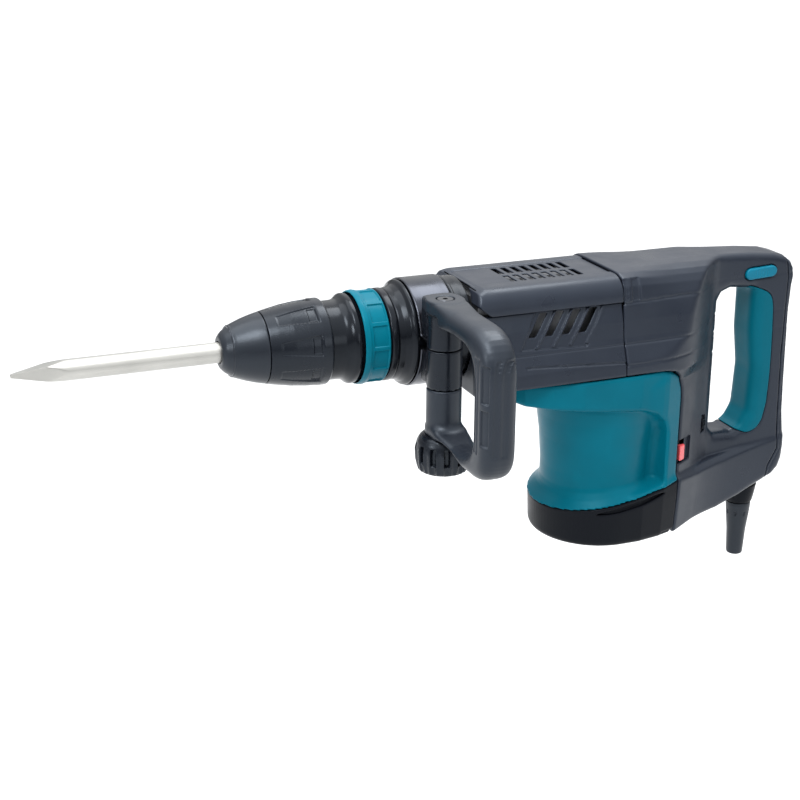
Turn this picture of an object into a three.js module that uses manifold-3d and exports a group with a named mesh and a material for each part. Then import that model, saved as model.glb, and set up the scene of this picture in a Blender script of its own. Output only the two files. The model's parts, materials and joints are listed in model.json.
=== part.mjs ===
// Electric demolition hammer with an SDS-max style chisel holder.
// Millimetres. Inside the "tool" group the hammer axis is the X axis, the nose face is x = 0, the chisel
// points to -X, the rear handle is at +X and +Z is up. The group is moved so that the origin of the whole
// object is the centre of the motor base's flat underside.
import * as THREE from "three";
import { mergeVertices } from "three/addons/utils/BufferGeometryUtils.js";
import Module from "manifold-3d";

const wasm = await Module();
wasm.setup();

// ---- driving dimensions ----
const GAP = 0.3; // between pieces that touch
const RUN = 0.15; // radial clearance of turning and sliding fits
const WALL = 3; // plastic casing thickness
const FINE = 28; // sides of the outer turned pieces
const COARSE = 20; // sides of the inner turned pieces

const MOTOR_X = 370; // motor axis, vertical
const BASE_Z = -217; // underside of the motor base
const CHISEL_R = 9;
const CHISEL_TIP_X = -174.5;
const CHISEL_END_X = 100;
const HOLDER_R = 22; // outside of the tool holder tube
const BARREL_R = 45.5; // under the clamp band
const CYLINDER_R = 22; // hammer cylinder bore
const CYLINDER_OUT_R = 26.5;
const CRANK_X = 320; // crank axis, vertical
const CRANK_THROW = 16;
const ROD_LENGTH = 72;
const CASE_FLOOR_Z = -46; // underside of the crank case
const SEAM_X = 362; // front and rear casings meet
const LEDGE_Z = 20.5; // lower edge of the top cover
const COVER_TOP_Z = 44.5;
const MOTOR_ROOM_R = 45; // bore of the motor housing
const CLAMP_X = 180; // side handle clamp bolt, vertical
const CLAMP_Y = -68;
const HAND_X = 543; // rear grip centre line
const HAND_HALF = 20; // half width of the rear handle
const LOCK_PIECES = [1, -1];

// Gear train from the motor to the crank: teeth and modules.
const MOTOR_TEETH = 10;
const COUNTER_TEETH = 38;
const MODULE_1 = 1.25;
const COUNTER_PINION_TEETH = 11;
const CRANK_TEETH = 39;
const MODULE_2 = 1.75;
const PRESSURE_ANGLE = (25 * Math.PI) / 180;
const BACKLASH = 0.22;

// The countershaft sits where both stages have their right centre distance.
const STAGE_1 = (MODULE_1 * (MOTOR_TEETH + COUNTER_TEETH)) / 2;
const STAGE_2 = (MODULE_2 * (COUNTER_PINION_TEETH + CRANK_TEETH)) / 2;
const SPAN = MOTOR_X - CRANK_X;
const COUNTER_X = CRANK_X + (STAGE_2 ** 2 - STAGE_1 ** 2 + SPAN ** 2) / (2 * SPAN);
const COUNTER_Y = Math.sqrt(STAGE_2 ** 2 - (COUNTER_X - CRANK_X) ** 2);

// ---- materials ----
const material = (color, roughness, metalness = 0) =>
  new THREE.MeshStandardMaterial({ color, roughness, metalness });
const look = {
  casing: () => material(0x3d444c, 0.55),
  darkCasing: () => material(0x23252b, 0.5),
  softGrip: () => material(0x3a3f44, 0.8),
  teal: () => material(0x0e7188, 0.42),
  tealGrip: () => material(0x126a80, 0.6),
  tealBright: () => material(0x3a9fb6, 0.4),
  steel: () => material(0xb9bab4, 0.38, 0.9),
  darkSteel: () => material(0x55585e, 0.3, 0.9),
  aluminium: () => material(0xa9acb0, 0.45, 0.9),
  copper: () => material(0xb06a3a, 0.4, 0.9),
  carbon: () => material(0x2a2a2a, 0.7),
  rubber: () => material(0x2b2f33, 0.85),
  board: () => material(0x1f5a3a, 0.6),
  redLens: () => material(0xd23a3a, 0.25),
};

// ---- geometry helpers: each returns a closed BufferGeometry ----
function toSolid(geometry) {
  const bare = geometry.clone();
  bare.deleteAttribute("normal");
  bare.deleteAttribute("uv");
  const merged = mergeVertices(bare, 1e-4);
  const index = merged.index.array;
  const kept = [];
  for (let i = 0; i < index.length; i += 3) {
    const [a, b, c] = [index[i], index[i + 1], index[i + 2]];
    if (a !== b && b !== c && c !== a) kept.push(a, b, c);
  }
  const build = (triangles) =>
    new wasm.Manifold(
      new wasm.Mesh({
        numProp: 3,
        vertProperties: merged.attributes.position.array,
        triVerts: new Uint32Array(triangles),
      }),
    );
  const made = build(kept);
  if (made.volume() >= 0) return made;
  const turnedRound = [];
  for (let i = 0; i < kept.length; i += 3) turnedRound.push(kept[i], kept[i + 2], kept[i + 1]);
  return build(turnedRound);
}

function toGeometry(made) {
  const mesh = made.getMesh();
  const geometry = new THREE.BufferGeometry();
  geometry.setAttribute("position", new THREE.BufferAttribute(mesh.vertProperties, 3));
  geometry.setIndex(new THREE.BufferAttribute(mesh.triVerts, 1));
  geometry.computeVertexNormals();
  return geometry;
}

const join = (...parts) => toGeometry(parts.map(toSolid).reduce((a, b) => a.add(b)));
const cut = (part, ...tools) => toGeometry(tools.map(toSolid).reduce((a, b) => a.subtract(b), toSolid(part)));
const common = (...parts) => toGeometry(parts.map(toSolid).reduce((a, b) => a.intersect(b)));

// Turns a geometry built along +Y (lathe) or +Z (extrusion) to the named axis.
const ALONG_Y = {
  x: new THREE.Matrix4().makeRotationZ(-Math.PI / 2),
  y: new THREE.Matrix4(),
  z: new THREE.Matrix4().makeRotationX(Math.PI / 2),
};

// A turned piece: the profile is a list of [place along the axis, radius].
function turned(axis, profile, sides = FINE, at = [0, 0, 0]) {
  const points = profile.map(([along, radius]) => new THREE.Vector2(radius, along));
  return new THREE.LatheGeometry(points, sides).applyMatrix4(ALONG_Y[axis]).translate(...at);
}

function disc(axis, radius, from, to, at = [0, 0, 0], sides = COARSE) {
  const profile = [
    [from, 0],
    [from, radius],
    [to, radius],
    [to, 0],
  ];
  return turned(axis, profile, sides, at);
}

function ring(axis, outer, inner, from, to, at = [0, 0, 0], sides = COARSE) {
  const profile = [
    [from, inner],
    [from, outer],
    [to, outer],
    [to, inner],
    [from, inner],
  ];
  return turned(axis, profile, sides, at);
}

function box(x0, x1, y0, y1, z0, z1) {
  const made = new THREE.BoxGeometry(x1 - x0, y1 - y0, z1 - z0);
  return made.translate((x0 + x1) / 2, (y0 + y1) / 2, (z0 + z1) / 2);
}

// A prism between two places on an axis. Its outline is in (y, z) for "x", (x, z) for "y" and (x, y) for "z".
function prism(axis, outline, from, to, bevel = 0, bevelSteps = 2) {
  const drawn = outline instanceof THREE.Shape;
  const shape = drawn ? outline : new THREE.Shape(outline.map(([u, v]) => new THREE.Vector2(u, v)));
  const made = new THREE.ExtrudeGeometry(shape, {
    depth: to - from - 2 * bevel,
    bevelEnabled: bevel > 0,
    bevelThickness: bevel,
    bevelSize: bevel,
    bevelOffset: -bevel,
    bevelSegments: bevelSteps,
    curveSegments: 6,
  });
  made.translate(0, 0, from + bevel);
  if (axis === "x") {
    const cyclic = new THREE.Matrix4();
    cyclic.makeBasis(new THREE.Vector3(0, 1, 0), new THREE.Vector3(0, 0, 1), new THREE.Vector3(1, 0, 0));
    return made.applyMatrix4(cyclic);
  }
  if (axis === "y") return made.scale(1, 1, -1).rotateX(Math.PI / 2);
  return made;
}

// A closed skin over a row of outlines that all have the same number of points.
function loft(sections) {
  const count = sections[0].length;
  const places = [];
  const triangles = [];
  for (const section of sections) for (const point of section) places.push(...point);
  for (let s = 0; s + 1 < sections.length; s++)
    for (let i = 0; i < count; i++) {
      const a = s * count + i;
      const b = s * count + ((i + 1) % count);
      triangles.push(a, b, b + count, a, b + count, a + count);
    }
  for (const last of [false, true]) {
    const section = sections[last ? sections.length - 1 : 0];
    const centre = [0, 1, 2].map((k) => section.reduce((sum, p) => sum + p[k], 0) / count);
    const hub = places.length / 3;
    const first = last ? (sections.length - 1) * count : 0;
    places.push(...centre);
    for (let i = 0; i < count; i++) {
      const a = first + i;
      const b = first + ((i + 1) % count);
      if (last) triangles.push(hub, a, b);
      else triangles.push(hub, b, a);
    }
  }
  const made = new THREE.BufferGeometry();
  made.setAttribute("position", new THREE.Float32BufferAttribute(places, 3));
  made.setIndex(triangles);
  return made;
}

// Both halves of an outline that is given for y >= 0 from bottom to top.
const mirrored = (half) => [...half, ...half.toReversed().map(([y, z]) => [-y, z])];
const atX = (x, outline) => outline.map(([y, z]) => [x, y, z]);

function arc(cx, cy, radius, fromDeg, toDeg, steps) {
  const points = [];
  for (let i = 0; i <= steps; i++) {
    const angle = ((fromDeg + ((toDeg - fromDeg) * i) / steps) * Math.PI) / 180;
    points.push([cx + radius * Math.cos(angle), cy + radius * Math.sin(angle)]);
  }
  return points;
}

// Spur gear outline with involute flanks and stub teeth. One tooth is centred on the angle "phase".
function gearOutline(teeth, module, phase) {
  const pitch = (module * teeth) / 2;
  const base = pitch * Math.cos(PRESSURE_ANGLE);
  const tip = pitch + 0.8 * module;
  const root = pitch - 1.05 * module;
  const halfTooth = Math.PI / (2 * teeth) - BACKLASH / (2 * pitch);
  const involute = (radius) => {
    const angle = Math.acos(Math.min(1, base / Math.max(radius, base)));
    return Math.tan(angle) - angle;
  };
  const halfAt = (radius) => halfTooth + involute(pitch) - involute(radius);
  const radii = [root, tip];
  const points = [];
  for (let k = 0; k < teeth; k++) {
    const middle = phase + (k * 2 * Math.PI) / teeth;
    for (const r of radii) points.push([r, middle - halfAt(r)]);
    for (const r of radii.toReversed()) points.push([r, middle + halfAt(r)]);
  }
  return points.map(([r, a]) => [r * Math.cos(a), r * Math.sin(a)]);
}

function gear(teeth, module, phase, x, y, z0, z1) {
  return prism("z", gearOutline(teeth, module, phase), z0, z1).translate(x, y, 0);
}

// ---- the scene graph ----
const hammer = new THREE.Group();
const tool = new THREE.Group();
tool.position.set(-MOTOR_X, 0, -BASE_Z);
hammer.add(tool);

function place(name, geometry, finish) {
  const mesh = new THREE.Mesh(toGeometry(toSolid(geometry)), finish());
  mesh.name = name;
  tool.add(mesh);
}

// ---- chisel ----
const SLOT = { from: 44, to: 76, depthR: 6.4, half: 3.7 }; // the two closed locking slots of the shank
const SPLINE = { from: 22, depthR: 6.3, half: 3.2 }; // the two open driving grooves

function makeChisel() {
  const barrel = disc("x", CHISEL_R, CHISEL_TIP_X, CHISEL_END_X);
  const square = (half) => [
    [half, half],
    [-half, half],
    [-half, -half],
    [half, -half],
  ];
  const point = loft([
    atX(CHISEL_TIP_X, square(1.1)),
    atX(-129, square(CHISEL_R + 0.2)),
    atX(CHISEL_END_X + 1, square(CHISEL_R + 0.2)),
  ]);
  const tools = [];
  for (const side of LOCK_PIECES) {
    const slotY = [SLOT.depthR * side, (CHISEL_R + 1) * side].sort((a, b) => a - b);
    tools.push(box(SLOT.from, SLOT.to, ...slotY, -SLOT.half, SLOT.half));
    const grooveZ = [SPLINE.depthR * side, (CHISEL_R + 1) * side].sort((a, b) => a - b);
    tools.push(box(SPLINE.from, CHISEL_END_X + 1, -SPLINE.half, SPLINE.half, ...grooveZ));
  }
  place("chisel", cut(common(barrel, point), ...tools), look.steel);
}

// ---- chisel holder, turning about the hammer axis ----
const KEY = { from: 46, to: 61, half: 3.2 };

function makeHolder() {
  const tube = turned(
    "x",
    [
      [8, CHISEL_R + RUN],
      [8, HOLDER_R],
      [147, HOLDER_R],
      [147, 16],
      [103, 16],
      [103, CHISEL_R + RUN],
      [8, CHISEL_R + RUN],
    ],
    COARSE,
  );
  const parts = [tube];
  const windows = [];
  for (const side of LOCK_PIECES) {
    const ribZ = [(SPLINE.depthR + GAP) * side, 12 * side].sort((a, b) => a - b);
    parts.push(box(30, 95, -2.7, 2.7, ...ribZ));
    const windowY = [5 * side, (HOLDER_R + 1) * side].sort((a, b) => a - b);
    windows.push(box(KEY.from - GAP, KEY.to + GAP, ...windowY, -KEY.half - GAP, KEY.half + GAP));
  }
  place("tool_holder", cut(join(...parts), ...windows), look.darkSteel);

  LOCK_PIECES.forEach((side, i) => {
    const keyY = [(SLOT.depthR + GAP) * side, 21.4 * side].sort((a, b) => a - b);
    const name = ["locking_key_right", "locking_key_left"][i];
    place(name, box(KEY.from, KEY.to, ...keyY, -KEY.half, KEY.half), look.steel);
  });

  const cap = [
    [0, 9.8],
    [0, 14],
    [4, 18],
    [10, 22.4],
    [20, 26.4],
    [37.6, 31.2],
    [37.6, HOLDER_R + GAP],
    [7.6, HOLDER_R + GAP],
    [7.6, 9.8],
    [0, 9.8],
  ];
  place("nose_cap", turned("x", cap), look.rubber);
}

const COVER_TRAVEL = 12;
const SLEEVE_FRONT = 91.2;

function makeReleaseCover() {
  const profile = [
    [38.2, HOLDER_R + RUN],
    [38.2, 31.5],
    [46, 33.1],
    [59, 35.6],
    [72.5, 37.3],
    [84, 38.2],
    [90.6, 38],
    [91.8, 37],
    [91.8, 35.7],
    [78.5, 35.7],
    [75, 34],
    [44, 29.5],
    [44, HOLDER_R + RUN],
    [38.2, HOLDER_R + RUN],
  ];
  const flutes = [];
  const FLUTES = 8;
  for (let i = 0; i < FLUTES; i++) {
    const flute = loft([
      atX(46, [
        [-5, 32.4],
        [5, 32.4],
        [5, 45],
        [-5, 45],
      ]),
      atX(80, [
        [-7.5, 36.6],
        [7.5, 36.6],
        [7.5, 45],
        [-7.5, 45],
      ]),
    ]);
    flutes.push(flute.rotateX(((i + 0.5) * 2 * Math.PI) / FLUTES));
  }
  place("release_cover", cut(turned("x", profile), ...flutes), look.casing);

  // The cover's return spring, drawn at the length it has with the cover pulled back.
  const turns = 3;
  const helix = [];
  const stepsPerTurn = 10;
  const springFrom = 44 + COVER_TRAVEL + 3;
  const springTo = SLEEVE_FRONT - 3;
  for (let i = 0; i <= turns * stepsPerTurn; i++) {
    const share = i / (turns * stepsPerTurn);
    const angle = share * turns * 2 * Math.PI;
    const along = springFrom + share * (springTo - springFrom);
    helix.push(new THREE.Vector3(along, 25.5 * Math.cos(angle), 25.5 * Math.sin(angle)));
  }
  const wire = new THREE.Shape(arc(0, 0, 1.3, 0, 300, 5).map(([u, v]) => new THREE.Vector2(u, v)));
  const path = new THREE.CatmullRomCurve3(helix);
  const coil = new THREE.ExtrudeGeometry(wire, { extrudePath: path, steps: turns * stepsPerTurn });
  place("cover_spring", coil, look.steel);
}

const RING_TRAVEL = 6;

function makeAngleRing() {
  const sleeve = [
    [SLEEVE_FRONT, HOLDER_R + GAP],
    [SLEEVE_FRONT, 35.3],
    [104.5, 35.3],
    [108, 37],
    [112, 39.6],
    [116.5, 39.6],
    [116.5, 37.1],
    [142.5, 37.1],
    [142.5, 33.5],
    [112, 33.5],
    [96, 31],
    [96, HOLDER_R + GAP],
    [SLEEVE_FRONT, HOLDER_R + GAP],
  ];
  place("holder_sleeve", turned("x", sleeve), look.darkCasing);

  const profile = [
    [119, 39.95],
    [119, 40.9],
    [120, 41.3],
    [141.6, 41.3],
    [142.2, 40.7],
    [142.2, 37.4],
    [131.5, 37.4],
    [131.5, 39.95],
    [119, 39.95],
  ];
  const POSITIONS = 12;
  const pockets = [];
  for (let i = 0; i < POSITIONS; i++) {
    const pocket = box(126.5, 139, -6.8, 6.8, 40.55, 45);
    pockets.push(pocket.rotateX(((i + 0.5) * 2 * Math.PI) / POSITIONS));
  }
  place("change_ring", cut(turned("x", profile), ...pockets), look.teal);
}

// ---- barrel and hammer mechanism ----
// Faceted bore that the turning tool holder clears at every angle.
const HOLDER_BORE = (HOLDER_R + RUN) / Math.cos(Math.PI / FINE);

function makeBarrel() {
  place("index_ring", ring("x", 41.4, 33.3, 143.2, 150, [0, 0, 0], FINE), look.rubber);
  const profile = [
    [143.2, HOLDER_BORE],
    [143.2, 33],
    [150.3, 33],
    [150.3, 40.3],
    [163, 40.3],
    [163, 47.2],
    [165.2, 47.2],
    [165.2, BARREL_R],
    [203.8, BARREL_R],
    [203.8, 47.2],
    [206, 47.2],
    [206, 44],
    [213, 46],
    [218.4, 46],
    [218.4, 38],
    [222, 38],
    [222, CYLINDER_OUT_R + GAP],
    [147.4, CYLINDER_OUT_R + GAP],
    [147.4, HOLDER_BORE],
    [143.2, HOLDER_BORE],
  ];
  place("barrel", turned("x", profile), look.darkSteel);
  const liner = ring("x", CYLINDER_OUT_R, CYLINDER_R, 147.7, 286, [0, 0, 0], COARSE);
  place("hammer_cylinder", liner, look.darkSteel);
}

function makeStrikers() {
  const bolt = [
    [107, 0],
    [107, 8.9],
    [120, 8.9],
    [122, 15.7],
    [134, 15.7],
    [136, 11],
    [146, 11],
    [146, 0],
  ];
  place("impact_bolt", turned("x", bolt, COARSE), look.steel);
  const striker = [
    [148, 0],
    [148, 10],
    [152, 10],
    [154, CYLINDER_R - 0.1],
    [184, CYLINDER_R - 0.1],
    [184, 0],
  ];
  place("striker", turned("x", striker, COARSE), look.steel);
}

const PIN_X = CRANK_X - CRANK_THROW - ROD_LENGTH; // wrist pin with the piston fully forward
const PISTON_FRONT = PIN_X - 26;
const PISTON_BACK = PIN_X + 14;

function makePiston() {
  const body = disc("x", CYLINDER_R - 0.1, PISTON_FRONT, PISTON_BACK);
  const skirt = box(PIN_X - 12, PISTON_BACK + 1, -17, 17, -8.3, 8.3);
  const pinHole = disc("z", 5.1, -18, 18, [PIN_X, 0, 0], 16);
  const groove = ring("x", 25, 19.4, PISTON_FRONT + 5, PISTON_FRONT + 8.4);
  place("piston", cut(body, skirt, pinHole, groove), look.aluminium);
  const seal = ring("x", CYLINDER_R - 0.12, 19.6, PISTON_FRONT + 5.2, PISTON_FRONT + 8.2);
  place("piston_seal", seal, look.rubber);
  place("wrist_pin", disc("z", 5, -17.5, 17.5, [PIN_X, 0, 0], 16), look.steel);
}

function makeConrod() {
  const pinX = CRANK_X - CRANK_THROW;
  const smallEnd = ring("z", 9.5, 5.15, -7, 7, [PIN_X, 0, 0], 16);
  const bigEnd = disc("z", 12, -7, 7, [pinX, 0, 0], 24);
  const beam = box(PIN_X + 7.5, pinX - 9, -4.5, 4.5, -4.5, 4.5);
  const crankPin = disc("z", 7, -10, -6, [pinX, 0, 0], 24);
  place("connecting_rod", join(smallEnd, beam, bigEnd, crankPin), look.steel);
}

function makeGearTrain() {
  const toCounter = Math.atan2(COUNTER_Y, COUNTER_X - MOTOR_X);
  const toCrank = Math.atan2(-COUNTER_Y, CRANK_X - COUNTER_X);
  const counterPhase = toCounter + Math.PI - Math.PI / COUNTER_TEETH;
  const crankPhase = toCrank + Math.PI - Math.PI / CRANK_TEETH;

  const webTrim = box(CRANK_X + 6, CRANK_X + 40, -40, 40, -15, 0);
  const web = cut(disc("z", 27, -22, -10.3, [CRANK_X, 0, 0]), webTrim);
  const shaft = disc("z", 8, CASE_FLOOR_Z, -20, [CRANK_X, 0, 0], 24);
  place("crankshaft", join(web, shaft), look.steel);
  const wheel = gear(CRANK_TEETH, MODULE_2, crankPhase, CRANK_X, 0, -36, -28);
  place("crank_gear", cut(wheel, disc("z", 8 + GAP, -40, -20, [CRANK_X, 0, 0], 24)), look.steel);
  place("crank_bearing", ring("z", 14, 8.1, -45.6, -38.6, [CRANK_X, 0, 0], 24), look.steel);

  const pinion = gear(COUNTER_PINION_TEETH, MODULE_2, toCrank, COUNTER_X, COUNTER_Y, -37, -27);
  const counterShaft = disc("z", 5.5, -66, -24, [COUNTER_X, COUNTER_Y, 0], 20);
  place("countershaft", join(pinion, counterShaft), look.steel);
  const counterWheel = gear(COUNTER_TEETH, MODULE_1, counterPhase, COUNTER_X, COUNTER_Y, -57, -50);
  const counterBore = disc("z", 5.5 + GAP, -60, -40, [COUNTER_X, COUNTER_Y, 0], 20);
  place("counter_gear", cut(counterWheel, counterBore), look.steel);
  return toCounter;
}

const CASE = { x0: 222.4, x1: 396, half: 42, top: 34 };

function makeCases() {
  const shell = box(CASE.x0, CASE.x1, -CASE.half, CASE.half, CASE_FLOOR_Z, CASE.top);
  const inside = box(230, CASE.x1 - 6, -39, 39, -41, CASE.top + 1);
  const cylinderHole = disc("x", CYLINDER_OUT_R + GAP, 215, 240);
  const crankHole = disc("z", 14 + GAP, -50, -38, [CRANK_X, 0, 0], 24);
  const counterHole = disc("z", 5.5 + RUN, -50, -38, [COUNTER_X, COUNTER_Y, 0], 20);
  const motorHole = disc("z", 9, -50, -38, [MOTOR_X, 0, 0], 20);
  const bearingSeat = ring("z", 19, 14 + GAP, -42, -38.6, [CRANK_X, 0, 0], 24);
  const holes = [inside, cylinderHole, crankHole, counterHole, motorHole];
  place("crank_case", join(cut(shell, ...holes), bearingSeat), look.aluminium);
  const lid = box(CASE.x0 + 6, CASE.x1, -CASE.half + 2, CASE.half - 2, CASE.top + GAP, 37.5);
  place("crank_case_lid", lid, look.aluminium);

  const cup = box(326.5, 396, -22, 55, -66.5, CASE_FLOOR_Z - GAP);
  const hollow = box(329.4, 392, -18, 52, -59.4, -40);
  const motorSeat = disc("z", 13 + GAP, -71, -58, [MOTOR_X, 0, 0], 24);
  const counterSeat = disc("z", 5.5 + RUN, -71, -58, [COUNTER_X, COUNTER_Y, 0], 20);
  place("gear_housing", cut(cup, hollow, motorSeat, counterSeat), look.aluminium);
}

// ---- motor ----
function makeMotor(pinionPhase) {
  const at = [MOTOR_X, 0, 0];
  const shaft = turned(
    "z",
    [
      [-204, 0],
      [-204, 5],
      [-172, 5],
      [-172, 15],
      [-152, 15],
      [-152, 7],
      [-140, 7],
      [-140, 24],
      [-92, 24],
      [-92, 7],
      [-84, 7],
      [-84, 5],
      [-58, 5],
      [-58, 0],
    ],
    COARSE,
    at,
  );
  const pinion = gear(MOTOR_TEETH, MODULE_1, pinionPhase, MOTOR_X, 0, -58.5, -48.5);
  place("armature", join(shaft, pinion), look.copper);
  const hub = ring("z", 9, 7.3, -91, -84.5, at, 24);
  const blades = [];
  const BLADES = 9;
  for (let i = 0; i < BLADES; i++) {
    const blade = box(8, 37, -0.8, 0.8, -90.5, -82);
    blades.push(blade.rotateZ((i * 2 * Math.PI) / BLADES).translate(...at));
  }
  const plate = ring("z", 37, 7.3, -91, -89, at, COARSE);
  place("cooling_fan", join(hub, plate, ...blades), look.darkCasing);

  const yoke = ring("z", MOTOR_ROOM_R - 0.6, 33, -140, -93, at);
  const poleRing = ring("z", 34, 25, -138, -95, at);
  const poles = LOCK_PIECES.map((side) => {
    const poleY = [6 * side, 36 * side].sort((a, b) => a - b);
    return common(poleRing, box(330, 410, ...poleY, -140, -90));
  });
  place("stator", join(yoke, ...poles), look.darkSteel);
  place("upper_motor_bearing", ring("z", 13, 5.1, -66.3, -59.6, at, 24), look.steel);
  place("lower_motor_bearing", ring("z", 13, 5.1, -203, -195, at, 24), look.steel);

  const plateRing = ring("z", MOTOR_ROOM_R - 1, 16, -178, -174.5, at);
  const bearingCup = ring("z", 17, 13 + GAP, -205, -174.5, at);
  place("brush_bridge", join(plateRing, bearingCup), look.darkCasing);
  LOCK_PIECES.forEach((side, i) => {
    const which = ["right", "left"][i];
    const bodyY = [19 * side, 34 * side].sort((a, b) => a - b);
    const boreY = [15 * side, 32 * side].sort((a, b) => a - b);
    const brushY = [15.3 * side, 24 * side].sort((a, b) => a - b);
    const body = box(363, 377, ...bodyY, -174.2, -152);
    const bore = box(365.6, 374.4, ...boreY, -168.5, -155.5);
    place(`brush_holder_${which}`, cut(body, bore), look.copper);
    place(`carbon_brush_${which}`, box(366, 374, ...brushY, -168, -156), look.carbon);
  });
}

// Plan of the motor base: a half circle in front and tapering sides behind.
function basePlan(grow) {
  const front = arc(MOTOR_X, 0, 64.5 + grow, 90, 270, 14);
  const side = [
    [388, -64.2 - grow],
    [412, -59 - grow],
    [429, -52 - grow],
  ];
  const mirroredSide = side.toReversed().map(([x, y]) => [x, -y]);
  return [...front, ...side, ...mirroredSide];
}

const SEAM = { front: -183.5, slope: 0.175, frontX: 306 }; // sloping joint between motor housing and base
const seamZ = (x) => SEAM.front + SEAM.slope * (x - SEAM.frontX);

// Everything on one side of the sloping seam.
function slopingBlock(up, offset) {
  const far = up ? 40 : -300;
  const outline = [
    [200, seamZ(200) + offset],
    [520, seamZ(520) + offset],
    [520, far],
    [200, far],
  ];
  return prism("y", outline, -150, 150);
}

// Tilts the lower end of a piece of the motor housing to follow the seam.
function sloped(geometry) {
  const tilt = 0.15;
  const places = geometry.getAttribute("position");
  for (let i = 0; i < places.count; i++) {
    const share = Math.min(1, Math.max(0, (-150 - places.getZ(i)) / 22));
    places.setZ(i, places.getZ(i) + share * tilt * (places.getX(i) - MOTOR_X));
  }
  return geometry;
}

const HOUSING_TOP = CASE_FLOOR_Z - GAP;
const HOUSING_REAR = 426;

function makeMotorHousing() {
  const plan = [
    [250, -28],
    [254, -42],
    [268, -54],
    [290, -61],
    [320, -65.5],
    [380, -65.5],
    [410, -62],
    [HOUSING_REAR, -54],
  ];
  const fullPlan = (grow) => {
    const near = plan.map(([x, y]) => [x - grow * Math.sign(x - 340), y + grow]);
    return [...near, ...near.toReversed().map(([x, y]) => [x, -y])];
  };
  const sideView = [
    [249, HOUSING_TOP],
    [408, HOUSING_TOP],
    [420, -54],
    [HOUSING_REAR, -70],
    [HOUSING_REAR, -168],
    [404, -168],
    [404, -104],
    [398, -89],
    [381, -79.5],
    [340, -74.5],
    [297, -66],
    [262, -58],
    [249, -54],
  ];
  const upper = common(prism("z", fullPlan(0), -168, -40), prism("y", sideView, -80, 80));
  const at = [MOTOR_X, 0, 0];
  const neck = turned(
    "z",
    [
      [-60, 0],
      [-60, 55.5],
      [-80, 53.5],
      [-156, 49],
      [-161, 51],
      [-166, 56],
      [-170.5, 63],
      [-172, 65.5],
      [-200, 66.5],
      [-200, 0],
    ],
    FINE,
    at,
  );
  const footRing = (places, rise) => {
    const half = places.map(([x, y]) => [x, -y, seamZ(x) + rise]);
    return [...half, ...half.toReversed().map(([x, y, z]) => [x, -y, z])];
  };
  const footEdge = [
    [384, 66],
    [412, 60.6],
    [HOUSING_REAR + 4.6, 53],
  ];
  const footTop = [
    [384, 46],
    [410, 46],
    [HOUSING_REAR + 4.6, 44],
  ];
  const rearFoot = loft([footRing(footEdge, -15), footRing(footEdge, 1.5), footRing(footTop, 11)]);
  const frontPart = box(240, HOUSING_REAR + 4.6, -90, 90, -200, -40);
  const outside = common(join(upper, sloped(neck), rearFoot), slopingBlock(true, 0), frontPart);
  const topRoom = common(prism("z", fullPlan(WALL), -71, -40), box(253, 420, -80, 80, -71, -40));
  const sideRoom = [
    [256, -40],
    [406, -40],
    [417, -56],
    [423, -71],
    [381, -74],
    [340, -70.5],
    [297, -62],
    [262, -54.5],
    [256, -51],
  ];
  const motorRoom = turned(
    "z",
    [
      [-40, 0],
      [-40, MOTOR_ROOM_R],
      [-160, MOTOR_ROOM_R],
      [-166, 50],
      [-175, 60],
      [-200, 61],
      [-200, 0],
    ],
    COARSE,
    at,
  );
  const upperRoom = common(topRoom, prism("y", sideRoom, -80, 80));
  place("motor_housing", cut(outside, upperRoom, sloped(motorRoom)), look.teal);
}

const BASE_SCREWS = [
  [316, 0],
  [408, -36],
  [408, 36],
];

function makeBase() {
  const outer = prism("z", basePlan(0), BASE_Z, -150, 5, 1);
  const inner = prism("z", basePlan(-WALL), BASE_Z + WALL, -140);
  let cover = cut(common(outer, slopingBlock(false, -GAP)), inner);
  const bosses = BASE_SCREWS.map(([x, y]) => disc("z", 5, BASE_Z + 1, -190, [x, y, 0], 12));
  const bores = BASE_SCREWS.map(([x, y]) => disc("z", 2.4, -220, -180, [x, y, 0], 12));
  const sinks = BASE_SCREWS.map(([x, y]) => disc("z", 4.4, -220, BASE_Z + 5, [x, y, 0], 16));
  cover = cut(join(cover, ...bosses), ...bores, ...sinks);
  place("base_cover", cover, look.darkCasing);
  BASE_SCREWS.forEach(([x, y], i) => {
    const screw = turned(
      "z",
      [
        [BASE_Z + 2, 0],
        [BASE_Z + 2, 3.9],
        [BASE_Z + 4.7, 3.9],
        [BASE_Z + 4.7, 2],
        [-192, 2],
        [-192, 0],
      ],
      12,
      [x, y, 0],
    );
    place(`base_screw_${i + 1}`, screw, look.steel);
  });
}

// ---- front casing ----
const SIDE_HALF = [
  [66, CASE_FLOOR_Z - GAP + 0.3],
  [65, -37],
  [60, -20],
  [57, -1],
  [53.5, 16],
  [50, LEDGE_Z - GAP],
];

const CHIN_END = 249.6; // the floor in front of the motor housing ends here

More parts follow.
